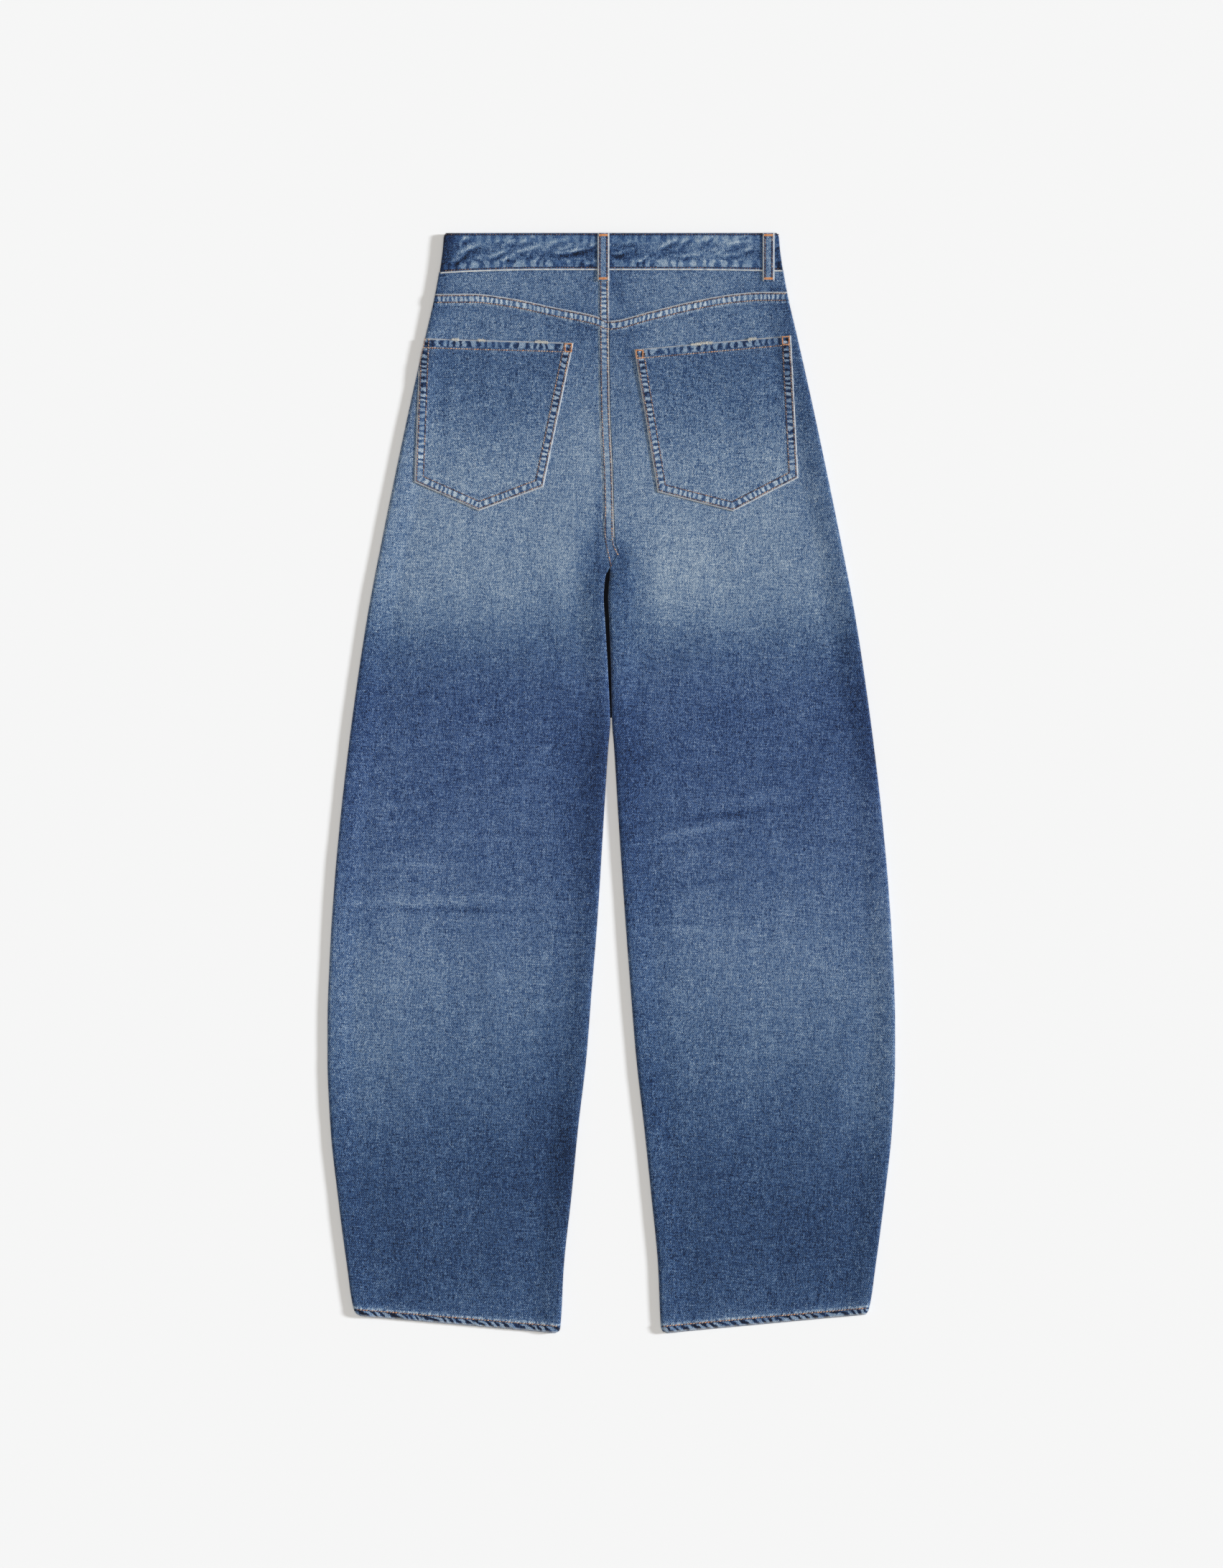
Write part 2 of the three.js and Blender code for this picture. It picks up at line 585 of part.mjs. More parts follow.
/** Round waist button at the centre front, on the underside. */
function button() {
  const rings = [
    [BUTTON_RADIUS * 0.75, 0],
    [BUTTON_RADIUS * 0.95, BUTTON_HEIGHT * 0.23],
    [BUTTON_RADIUS, BUTTON_HEIGHT * 0.5],
    [BUTTON_RADIUS * 0.95, BUTTON_HEIGHT * 0.77],
    [BUTTON_RADIUS * 0.5, BUTTON_HEIGHT],
  ];
  const around = 28;
  const centre = { x: FRONT_CENTRE - 13, down: FRONT_DIP + 18 };
  const y = LENGTH / 2 - centre.down;
  const points = [[centre.x, y, 0], [centre.x, y, BUTTON_HEIGHT]];
  const faces = [];
  rings.forEach(([radius, z]) => {
    for (let k = 0; k < around; k++) {
      const angle = (2 * Math.PI * k) / around;
      points.push([centre.x + radius * Math.cos(angle), y + radius * Math.sin(angle), z]);
    }
  });
  const at = (ring, k) => 2 + ring * around + (k % around);
  const last = rings.length - 1;
  for (let k = 0; k < around; k++) {
    faces.push([0, at(0, k + 1), at(0, k)]);
    faces.push([1, at(last, k), at(last, k + 1)]);
    for (let ring = 0; ring < last; ring++) {
      faces.push([at(ring, k), at(ring, k + 1), at(ring + 1, k + 1)]);
      faces.push([at(ring, k), at(ring + 1, k + 1), at(ring + 1, k)]);
    }
  }
  return solid("waist_button", COPPER, points, faces);
}

const trousers = new THREE.Group();
trousers.name = "barrel_leg_trousers";
for (const side of [-1, 1]) {
  trousers.add(frontPanel(side));
  trousers.add(backPanel(side));
  trousers.add(yoke(side));
  trousers.add(pocket(side));
}
trousers.add(waistband());
trousers.add(backLoop("loop_back_centre", -7.7));
trousers.add(backLoop("loop_back_right", 153.1));
trousers.add(frontLoop("loop_side_left", -140));
trousers.add(frontLoop("loop_front_left", -70));
trousers.add(frontLoop("loop_front_right", 84));
trousers.add(button());

export default trousers;
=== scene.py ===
"""Barrel leg denim trousers, laid flat with the back upward, as the photograph shows them.

Shapes are worked out in millimetres, with "down" the distance from the top of the waistband, and go into the
meshes in metres. side is -1 for the left half of the picture and +1 for the right half.
"""

import logging
import math
from dataclasses import dataclass, field, replace
from enum import Enum
from typing import ClassVar, Sequence

import bpy
import numpy as np
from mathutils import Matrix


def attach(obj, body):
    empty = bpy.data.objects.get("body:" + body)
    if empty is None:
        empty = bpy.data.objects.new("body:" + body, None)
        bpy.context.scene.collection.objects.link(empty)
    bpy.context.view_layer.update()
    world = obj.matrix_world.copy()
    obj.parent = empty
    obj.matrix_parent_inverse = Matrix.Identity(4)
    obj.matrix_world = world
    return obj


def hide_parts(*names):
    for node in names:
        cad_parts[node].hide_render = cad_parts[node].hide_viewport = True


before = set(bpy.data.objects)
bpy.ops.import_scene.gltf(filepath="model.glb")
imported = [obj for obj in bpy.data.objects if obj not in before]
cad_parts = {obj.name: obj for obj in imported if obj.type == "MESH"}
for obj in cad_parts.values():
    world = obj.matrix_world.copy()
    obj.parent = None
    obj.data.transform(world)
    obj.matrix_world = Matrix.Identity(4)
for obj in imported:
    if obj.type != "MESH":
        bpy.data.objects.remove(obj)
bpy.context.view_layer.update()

LOG = logging.getLogger("trousers")
Array = np.ndarray

MM = 0.001
# from the waistband's top to the hems, and the thickness of one cloth and of the doubled waistband
LENGTH = 1071.7
CLOTH = 1.2
BAND_CLOTH = 2.0
# radius of the folds' middle line, and height of the under layer's, at the legs and at the waistband
LEG_RADIUS = 2.4
WAIST_RADIUS = 1.25
LEG_LOW = 0.6
WAIST_LOW = 3.5
WAIST_HIGH = WAIST_LOW + 2 * WAIST_RADIUS
# where the cloth rises from the one to the other, and how the upper layer rests between its folds
RISE_FROM = 128.0
RISE_TO = 54.0
REST_HEIGHT = 3.0
BULGE_REACH = 26.0
# how far the back panels reach under the garment, and where they start to curl round the inner legs
SIDE_LIP = {-1: 20.0, 1: 9.0}
INNER_LIP = 8.0
CURL_FROM = 326.0
CURL_OVER = 18.0
WAISTBAND_DEPTH = 36.2
# the waistband's foot is level this far from the middle, then drops by so much at the outer folds
WAIST_LEVEL = 60.0
WAIST_HALF = 165.0
WAIST_DROP = {-1: 3.2, 1: 1.4}
FRONT_DIP = 10.0
FRONT_DIP_REACH = 145.0
FRONT_CENTRE = 7.7
# felled seams and hems
FELL_WIDTH = 8.6
FELL_RAISE = 0.8
# the second row of the centre seam, from its worn edge
CENTRE_ROW = 7.9
HEM_WIDTH = 8.0
HEM_RAISE = 0.7
HEM_SLANT = {-1: 16.8, 1: 18.2}
SEAM_TOP = 57.6
SIDE_NAME = {-1: "left", 1: "right"}
# how high a thread's middle lies over the cloth, and a groove's half width and depth
THREAD_RISE = 0.16
GROOVE_WIDE = 0.75
GROOVE_DEEP = 0.25
UPWARD = np.array([0.0, 0.0, 1.0])
DOWNWARD = -UPWARD
HALF_TURN = np.radians(np.arange(-90.0, 91.0, 20.0))[None, :]
# a distance that keeps a place clear of every band
FAR = 60.0
PHOTO_SIZE = (1703, 2184)
PIXEL_MM = 0.70


class Edge(Enum):
    """An edge of a grid: whether it is a column, and whether it comes first."""

    TOP = (0, True)
    FOOT = (0, False)
    END = (1, False)


def smooth(value: Array) -> Array:
    """Three times the square less twice the cube, of each number held between 0 and 1."""
    held = np.clip(value, 0.0, 1.0)
    return held * held * (3.0 - 2.0 * held)


def between(start: float, end: float, value: Array) -> Array:
    """Eased share of the way from start, where it is 0, to end, where it is 1."""
    return smooth((np.asarray(value, float) - start) / (end - start))


def mixed(first: Array, second: Array, share: Array) -> Array:
    """The first value plus share times what the second has more."""
    return first + (second - first) * share


def bell(offset: Array, wide: float) -> Array:
    """1 at no offset, falling to a third at one width and to nothing past two."""
    return np.exp(-((offset / wide) ** 2))


def three(first: Array, second: Array, third: Array) -> Array:
    """Three values at each point, in step; single numbers are spread over all of them."""
    return np.stack(np.broadcast_arrays(first, second, third), axis=-1)


def unit(vectors: Array) -> Array:
    """The vectors, one a row, at length 1."""
    return vectors / np.linalg.norm(vectors, axis=1, keepdims=True)


def walked(path: Array) -> Array:
    """Distance walked along a path's points, one a row, to each of them."""
    return np.concatenate([[0.0], np.cumsum(np.linalg.norm(np.diff(path, axis=0), axis=1))])


class Curve:
    """A smooth curve through a table's rows that never overshoots them."""

    def __init__(self, rows: Sequence[tuple[float, float]]) -> None:
        """Works out the slope at each row, the harmonic mean of the chords beside it, and 0 at a turn.

        Args:
            rows: Pairs of position and value, in order of position.
        """
        self.at, self.to = (np.array(column, float) for column in zip(*rows))
        chord = np.diff(self.to) / np.diff(self.at)
        before, after = chord[:-1], chord[1:]
        turning = before * after <= 0
        total = np.where(turning, 1.0, before + after)
        inner = np.where(turning, 0.0, 2.0 * before * after / total)
        self.slope = np.concatenate([chord[:1], inner, chord[-1:]])

    def __call__(self, value: Array) -> Array:
        """The cubic through the rows on both sides of each value.

        Args:
            value: Positions; those past an end take the end's value.

        Returns:
            The curve's values there.
        """
        held = np.clip(np.asarray(value, float), self.at[0], self.at[-1])
        i = np.clip(np.searchsorted(self.at, held, side="right") - 1, 0, len(self.at) - 2)
        step = self.at[i + 1] - self.at[i]
        t = (held - self.at[i]) / step
        back = 1.0 - t
        start = self.to[i] * (1 + 2 * t) * back**2 + step * self.slope[i] * t * back**2
        end = self.to[i + 1] * t**2 * (3 - 2 * t) + step * self.slope[i + 1] * t**2 * (t - 1)
        return start + end


class Rumple:
    """Seeded smooth unevenness: random heights on a lattice, eased between."""

    def __init__(self, seed: int) -> None:
        """Draws the lattice."""
        self.heights = np.random.default_rng(seed).uniform(-1.0, 1.0, (128, 128))

    def __call__(self, x: Array, y: Array, size: float, tall: float | None = None) -> Array:
        """Height at a place: the four lattice heights round it, eased between.

        Args:
            x: Places across, in millimetres.
            y: Places down, in millimetres.
            size: Width of a lattice cell.
            tall: Its height, the same as size where left out.

        Returns:
            Heights from -1 to 1.
        """
        across, along = np.asarray(x, float) / size, np.asarray(y, float) / (tall or size)
        across, along = np.broadcast_arrays(across, along)
        i, j = np.floor(across).astype(int), np.floor(along).astype(int)
        s, t = smooth(across - i), smooth(along - j)
        grid = self.heights
        upper = mixed(grid[j % 128, i % 128], grid[j % 128, (i + 1) % 128], s)
        lower = mixed(grid[(j + 1) % 128, i % 128], grid[(j + 1) % 128, (i + 1) % 128], s)
        return mixed(upper, lower, t)


# down, half width of the whole garment
OUTLINE = Curve([
    (0, 162.9), (14.7, 164.2), (35.7, 167.3), (65.1, 172.7), (98.7, 180.6), (165.9, 195.7), (233.1, 210),
    (300.3, 223.7), (367.5, 236.6), (434.7, 247.1), (501.9, 256.1), (569.1, 263.8), (636.3, 269.9),
    (703.5, 274.2), (770.7, 276.5), (804.3, 276.5), (871.5, 273.6), (938.7, 266.4), (1005.9, 257.6),
    (1049, 250.9), (1053.5, 248), (1055, 245),
])
# down, x of the inner end of the left half
MIDDLE_LEFT = Curve([
    (0, -2.3), (52.5, -2.3), (156.1, -1.6), (234.5, 1.5), (300, 3.4), (310.8, 6.4), (318, 2.9), (326, -1.2),
    (335, -5.6), (356, -7.2), (376, -6.0), (423.5, -3.2), (476, -0.9), (501.9, -3.0), (569.1, -7.2),
    (669.9, -13.5), (737.1, -19.0), (804.3, -24.3), (871.5, -32.2), (938.7, -38.8), (1005.9, -46.1),
    (1066, -49.6), (1070.4, -51), (1071.7, -54),
])
# down, x of the inner end of the right half
MIDDLE_RIGHT = Curve([
    (0, -2.0), (52.5, -2.0), (156.1, -1.3), (234.5, 1.8), (300, 3.7), (310.8, 6.8), (318, 3.4), (326, -0.6),
    (335, -1.8), (356, -3.3), (376, -2.4), (423.5, -0.5), (476, 0.6), (501.9, 2.7), (569.1, 6.8),
    (669.9, 13.7), (737.1, 18.8), (804.3, 24.3), (871.5, 32.0), (938.7, 39.0), (1005.9, 45.5),
    (1066, 48.3), (1070.4, 50), (1071.7, 53.4),
])
# x, down of the top edge of the felled seam under the yokes
YOKE_SEAM = Curve([
    (-175, 59.5), (-136, 59.2), (-97, 63.7), (-57, 72.1), (-16, 80.5), (-2, 85.4), (38, 76.3), (79, 66.5),
    (119, 59.5), (146, 57.4), (175, 57.4),
])
# down, x of the seam between the fronts, on the underside
FRONT_SEAM = Curve([(0, 7.7), (150, 6.2), (250, 3.2), (305, 0.4), (326, -0.9)])


@dataclass(frozen=True)
class Spot:
    """A soft rise of the cloth or place of the wash, given as an ellipse, and how far it is turned."""

    x: float
    down: float
    long: float
    wide: float
    rise: float
    turn: float = 0.0

    def at(self, x: Array, down: Array) -> Array:
        """Rise times a bell along and a bell across the turned ellipse.

        Args:
            x: Places across.
            down: Places down.

        Returns:
            Heights in millimetres, or steps of an 8-bit picture.
        """
        turn, right, below = math.radians(self.turn), x - self.x, down - self.down
        along = right * math.cos(turn) + below * math.sin(turn)
        across = below * math.cos(turn) - right * math.sin(turn)
        return self.rise * bell(along, self.long) * bell(across, self.wide)


def spots(*rows: tuple[float, ...]) -> tuple[Spot, ...]:
    """A spot for each row of x, down, half length, half width, rise and turn in degrees."""
    return tuple(Spot(*row) for row in rows)


# long soft rises of the upper layer, in millimetres
SOFT_FOLDS = spots(
    (-120, 690, 95, 17, 0.7, 84), (130, 640, 85, 15, 0.6, 97), (-200, 830, 75, 14, 0.6, 78),
    (215, 850, 80, 13, 0.7, 103), (-70, 420, 55, 11, 0.6, 40), (66, 430, 60, 12, 0.7, 138),
    (-150, 520, 65, 15, 0.5, 12), (165, 530, 70, 14, 0.5, 168), (100, 960, 60, 13, 0.6, 92),
    (-110, 980, 65, 14, 0.5, 86),
)
# fine drag lines down from the fork and across the knees: worn pale where they rise, with painted shade where
# they sink
DRAG_LINES = spots(
    (-44, 348, 60, 9, 0.13, 92), (-68, 356, 55, 8, -0.09, 84), (54, 352, 50, 10, 0.11, 74),
    (-213, 560, 33, 3, 0.22), (-120, 591, 49, 3, 0.20), (-190, 616, 56, 3, 0.26, -1),
    (-178, 651, 68, 4.5, 0.24, -1), (-148, 660, 77, 2.5, -0.28, 1), (-150, 670, 30, 2.5, 0.16),
    (80, 583, 50, 3, 0.36, -12), (111, 567, 48, 3, -0.36, -6), (146, 551, 45, 6, 0.20, -6),
    (90, 633, 36, 2.5, -0.28, -9), (70, 680, 33, 3, 0.22), (74, 672, 33, 2.5, -0.16),
)


@dataclass(frozen=True)
class EdgeShade:
    """Painted shade along a stretch of a leg's outer or inner fold."""

    side: int
    inner: bool
    start: float
    end: float
    reach: float
    lift: float
    ease: float = 70.0

    def at(self, x: Array, down: Array) -> Array:
        """Lift times a bell of the distance from the fold, eased in and out down the leg.

        Args:
            x: Places across.
            down: Places down.

        Returns:
            What the shade adds, in steps of an 8-bit picture.
        """
        fold = LAY.inner(self.side, down) if self.inner else LAY.outer(self.side, down)
        started = between(self.start, self.start + self.ease, down)
        shown = started * between(self.end + self.ease, self.end, down)
        return self.lift * shown * bell(x - fold, self.reach) * (x * self.side > 0)


class WashAndShade:
    """How light the denim is at each place: a fade down the garment, painted shade at the folds and the fork,
    and worn places.
    """

    # down, lightness out of 255: waist, yoke, seat, pale thigh, dark band, knee, shin, hem
    fade = Curve([
        (0, 99), (40, 110), (150, 108), (225, 126), (310, 133), (350, 128), (410, 91), (470, 80), (590, 88),
        (720, 106), (780, 101), (920, 72), (990, 68), (1050, 78),
    ])
    shades = (
        EdgeShade(-1, True, 440, 900, 42.0, -27), EdgeShade(1, True, 440, 830, 34.0, -24),
        EdgeShade(-1, False, -70, 640, 18.0, -9), EdgeShade(1, False, 10, 500, 26.0, -26),
        EdgeShade(-1, False, -70, 50, 11.0, -22),
    )
    patches = spots(
        # painted shade at the fork, and below the loop at the centre back
        (-10, 338, 26, 48, -48), (18, 345, 16, 40, -20), (4, 50, 14, 34, -16), (-13, 284, 5, 46, -20),
        (11, 318, 6, 18, -18),
        # deeper blue beside the centre seam, under the yokes
        (-38, 98, 22, 34, -15), (14, 112, 14, 26, -10),
        # paler thighs, seat and yoke
        (74, 325, 36, 38, 14), (-24, 192, 18, 48, 16), (70, 95, 34, 60, 9),
        # paler knees and shins
        (-205, 700, 46, 80, 7), (150, 700, 60, 80, 6), (-228, 830, 26, 70, 10), (250, 850, 26, 70, 8),
    )
    drag = 76.0
    blotch = Rumple(11)
    streak = Rumple(12)

    def at(self, x: Array, down: Array) -> Array:
        """Fade, painted shade at the folds, patches of wear and of painted shade, and drag lines, with
        unevenness in large spots and faint streaks both ways.

        Args:
            x: Places across.
            down: Places down.

        Returns:
            Lightness from 0 to 1.
        """
        # the shades and the fork and loop patches are painted shade; the other patches are the cloth's own tone
        light = self.fade(down) + sum(worn.at(x, down) for worn in self.shades + self.patches)
        light = light + self.drag * sum(line.at(x, down) for line in DRAG_LINES)
        light = light + 3.0 * self.blotch(x, down, 46.0) + 2.2 * self.blotch(x + 300, down, 17.0)
        light = light + 2.8 * self.streak(x + 0.03 * down, down, 5.0, 60.0)
        light = light + 3.6 * self.streak(x + 400 - 0.02 * down, down, 13.0, 95.0)
        knee = between(440, 540, down) * between(860, 740, down)
        return (light + 3.0 * knee * self.streak(x, down + 0.04 * x, 70.0, 3.6)) / 255.0


class Lay:
    """Where the cloth lies: the same edges, seams and heights as the solids'."""

    @staticmethod
    def outer(side: int, down: Array) -> Array:
        """X of the outer fold: the side times the half width."""
        return side * OUTLINE(down)

    @staticmethod
    def inner(side: int, down: Array) -> Array:
        """X of the inner end: the centre seam, then the inner leg."""
        return (MIDDLE_LEFT if side < 0 else MIDDLE_RIGHT)(down)

    @staticmethod
    def waist_seam(x: Array) -> Array:
        """Lower edge of the waistband: level, dropping with the square of x near the folds."""
        past = np.maximum(0.0, np.abs(x) - WAIST_LEVEL) / (WAIST_HALF - WAIST_LEVEL)
        return WAISTBAND_DEPTH + np.where(np.asarray(x) < 0, WAIST_DROP[-1], WAIST_DROP[1]) * past**2

    @staticmethod
    def front_dip(x: Array) -> Array:
        """How much lower the waist is at the front: an eased drop toward the centre front."""
        return FRONT_DIP * smooth(1.0 - np.abs(x - FRONT_CENTRE) / FRONT_DIP_REACH)

    @staticmethod
    def low(down: Array) -> Array:
        """Height of the middle of the under layer's cloth, rising toward the waistband."""
        return mixed(LEG_LOW, WAIST_LOW, between(RISE_FROM, RISE_TO, down))

    @staticmethod
    def radius(down: Array) -> Array:
        """Radius of the folds, smaller at the waistband."""
        return mixed(LEG_RADIUS, WAIST_RADIUS, between(RISE_FROM, RISE_TO, down))

    @staticmethod
    def curled(down: Array) -> Array:
        """Share of the curl round the inner leg: 0 above the fork, 1 below it."""
        return between(CURL_FROM, CURL_FROM + CURL_OVER, down)

    def curl(self, down: Array) -> Array:
        """Length of cloth in the curl: the half turn and the lip, times its share."""
        return self.curled(down) * (math.pi * self.radius(down) + INNER_LIP)

    def high(self, side: int, x: Array, down: Array) -> Array:
        """Height of the middle of the upper layer: resting, with soft folds, up to the turned edges' tops.

        Args:
            side: Half of the garment.
            x: Places across.
            down: Places down.

        Returns:
            Heights in millimetres.
        """
        radius = self.radius(down)
        top = self.low(down) + 2.0 * radius
        rise = between(RISE_FROM, RISE_TO, down)
        rest = mixed(REST_HEIGHT, top, rise)
        waves = sum(fold.at(x, down) for fold in SOFT_FOLDS) * (1.0 - rise)
        by_outer, by_inner = (
            smooth(1 - (np.abs(edge - x) - CLOTH / 2 - radius) / BULGE_REACH)
            for edge in (self.outer(side, down), self.inner(side, down))
        )
        bulge = np.maximum(by_outer, by_inner * np.clip(self.curl(down) / (radius * 1.5), 0.0, 1.0))
        return mixed(rest + waves, top, bulge)

    def over_fold(self, side: int, down: Array, arc: Array) -> tuple[Array, Array, Array, Array]:
        """Upper layer by its distance round the outer fold: the lip, the half circle, then the flat.

        Args:
            side: Half of the garment.
            down: Places down.
            arc: Distance from the fold's outermost line, plus is upward.

        Returns:
            x, height and the outward direction's two parts.
        """
        down, arc = np.broadcast_arrays(np.asarray(down, float), np.asarray(arc, float))
        radius = self.radius(down)
        quarter = math.pi / 2 * radius
        edge = self.outer(side, down) - side * CLOTH / 2
        low = self.low(down)
        angle = np.clip(arc / radius, -math.pi / 2, math.pi / 2)
        past = np.abs(arc) - quarter
        x = edge - side * (radius - radius * np.cos(angle) + np.maximum(0.0, past))
        z = np.where(arc > quarter, self.high(side, x, down), low + radius + radius * np.sin(angle))
        return x, z, side * np.cos(angle), np.sin(angle)

    def near_end(self, side: int, down: Array, rest: Array) -> tuple[Array, Array, Array, Array]:
        """Upper layer by the cloth left before its inner end: flat, then the curl round the inner leg.

        Args:
            side: Half of the garment.
            down: Places down.
            rest: Length of cloth left.

        Returns:
            x, height and the outward direction's two parts.
        """
        down, rest = np.broadcast_arrays(np.asarray(down, float), np.asarray(rest, float))
        radius, curl = self.radius(down), self.curl(down)
        turned = np.sin(np.minimum(curl / radius, math.pi / 2))
        start = self.inner(side, down) + side * (radius + CLOTH / 2) * turned
        angle = np.clip((curl - rest) / radius, 0.0, math.pi)
        top = self.high(side, start, down)
        beyond = np.maximum(0.0, curl - rest - math.pi * radius)
        flat = rest >= curl
        x = np.where(flat, start + side * (rest - curl), start - side * (radius * np.sin(angle) - beyond))
        z = np.where(flat, self.high(side, x, down), top - radius + radius * np.cos(angle))
        return x, z, np.where(flat, 0.0, -side * np.sin(angle)), np.where(flat, 1.0, np.cos(angle))

    def leg_row(self, side: int, nominal: Array, share: Array) -> Array:
        """How far down each place of a leg row lies: the yoke seam's dip at the top, the hem's slant below.

        Args:
            side: Half of the garment.
            nominal: The row's own distance down.
            share: Share of the way from the outer fold to the inner end.

        Returns:
            Distances down.
        """
        width = self.inner(side, nominal) - self.outer(side, nominal)
        x = self.outer(side, nominal) + share * width
        dip = (YOKE_SEAM(x) - SEAM_TOP + 0.3) * between(190, 70, nominal)
        return nominal + dip - HEM_SLANT[side] * (1 - share) * between(830, 1060, nominal)

    def yoke_row(self, side: int, part: Array, share: Array) -> Array:
        """The same for a yoke row, by its share of the way from the waistband to the yoke seam.

        Args:
            side: Half of the garment.
            part: Share of the way down the yoke.
            share: Share of the way across.

        Returns:
            Distances down.
        """
        base = mixed(WAISTBAND_DEPTH, SEAM_TOP, part)
        x = self.outer(side, base) + share * (self.inner(side, base) - self.outer(side, base))
        return mixed(self.waist_seam(x) - 1.4, YOKE_SEAM(x) + 1.6, part)


LAY = Lay()
WASH_AND_SHADE = WashAndShade()
FINE = Rumple(21)
BROAD = Rumple(22)


def unevenness(x: Array, down: Array) -> Array:
    """Small waves of washed cloth, in millimetres: three sizes of seeded unevenness."""
    wide = 0.20 * BROAD(x, down, 44.0)
    return wide + 0.10 * FINE(x, down, 15.0, 19.0) + 0.05 * FINE(x + 500, down, 6.0, 8.0)


@dataclass
class Surface:
    """A grid of cloth: its middle surface, outward direction, face's stand over it, and what is painted."""

    x: Array
    down: Array
    z: Array
    nx: Array
    nz: Array
    lift: Array
    paint: dict[str, Array] = field(default_factory=dict)
    parts: ClassVar[tuple[str, ...]] = ("x", "down", "z", "nx", "nz", "lift")

    def __post_init__(self) -> None:
        """Spreads single numbers over the grid."""
        grids = np.broadcast_arrays(*(getattr(self, name) for name in self.parts))
        vars(self).update(zip(self.parts, grids))

    def turned(self, edge: Edge, steps: Sequence[tuple[float, float]]) -> "Surface":
        """Turns an edge over: copies of it beyond, each moved on by its step and dropped by its fall.

        Args:
            edge: Which edge; rows move down and columns move across.
            steps: For each copy, outward from the edge, its move and its drop.

        Returns:
            The larger surface.
        """
        axis, first = edge.value
        moves, drops = np.expand_dims(np.array(steps[::-1] if first else steps).T, 2 - axis)
        changes = {"x" if axis else "down": moves, "lift": -drops}

        def joined(values: Array, change: Array | float = 0.0) -> Array:
            """The grid with changed copies of its edge beside it."""
            copies = values.take([0 if first else -1] * len(steps), axis) + change
            return np.concatenate([copies, values] if first else [values, copies], axis)

        grids = {name: joined(getattr(self, name), changes.get(name, 0.0)) for name in self.parts}
        return replace(self, **grids, paint={label: joined(values) for label, values in self.paint.items()})

    def mesh(self, name: str) -> bpy.types.Object:
        """Object whose points are the middle surface plus lift times the outward direction.

        Its faces look outward: they are turned round where the steps across, each times the upward part of
        the outward direction, add up to less than nothing.

        Args:
            name: Name of the piece.

        Returns:
            The object, at the origin, with its painted values as point attributes.
        """
        x, z = self.x + self.nx * self.lift, self.z + self.nz * self.lift
        points = three(x, LENGTH / 2 - self.down, z).reshape(-1, 3) * MM
        tall, wide = self.x.shape
        corner = np.arange(tall * wide).reshape(tall, wide)[:-1, :-1].reshape(-1)
        quads = np.stack([corner, corner + wide, corner + wide + 1, corner + 1], axis=1)
        if np.sum(np.diff(self.x[0]) * self.nz[0, 1:]) < 0:
            quads = quads[:, ::-1]
        obj = mesh_object(name, points, quads)
        for label, values in self.paint.items():
            paint_points(obj, label, values.reshape(len(points), -1))
        return obj


def mesh_object(name: str, points: Array, faces: Array) -> bpy.types.Object:
    """A smooth-shaded mesh object from arrays of points and of equal-sided faces.

    Args:
        name: Name of the object and its mesh.
        points: Points in metres, one a row.
        faces: Point numbers, one face a row.

    Returns:
        The object, linked to the scene.
    """
    mesh = bpy.data.meshes.new(name)
    count, sides = faces.shape
    mesh.vertices.add(len(points))
    mesh.vertices.foreach_set("co", points.astype(np.float32).reshape(-1))
    mesh.loops.add(count * sides)
    mesh.loops.foreach_set("vertex_index", faces.astype(np.int32).reshape(-1))
    mesh.polygons.add(count)
    mesh.polygons.foreach_set("loop_start", (np.arange(count) * sides).astype(np.int32))
    mesh.polygons.foreach_set("use_smooth", np.ones(count, bool))
    mesh.update(calc_edges=True)
    mesh.validate()
    obj = bpy.data.objects.new(name, mesh)
    bpy.context.scene.collection.objects.link(obj)
    return obj


def paint_points(obj: bpy.types.Object, label: str, values: Array) -> None:
    """Stores three numbers, or one, at each point of a mesh.

    Args:
        obj: The mesh object.
        label: Name of the attribute.
        values: One row a point, of one or three numbers.
    """
    kind, key = ("FLOAT", "value") if values.shape[1] == 1 else ("FLOAT_VECTOR", "vector")
    layer = obj.data.attributes.new(label, kind, "POINT")
    layer.data.foreach_set(key, np.ascontiguousarray(values, np.float32).reshape(-1))


def graded(start: float, end: float, fine: float, reach: float, coarse: float) -> Array:
    """Stations from start to end: fine steps over the first reach, then coarse ones.

    Args:
        start: First station.
        end: Last station.
        fine: Step of the first ones.
        reach: How far they go.
        coarse: Step of the rest.

    Returns:
        The stations in order.
    """
    sign = 1.0 if end > start else -1.0
    near = start + sign * np.arange(0.0, reach, fine)
    count = max(2, int(abs(end - start - sign * reach) / coarse))
    return np.concatenate([near, np.linspace(start + sign * reach, end, count)])


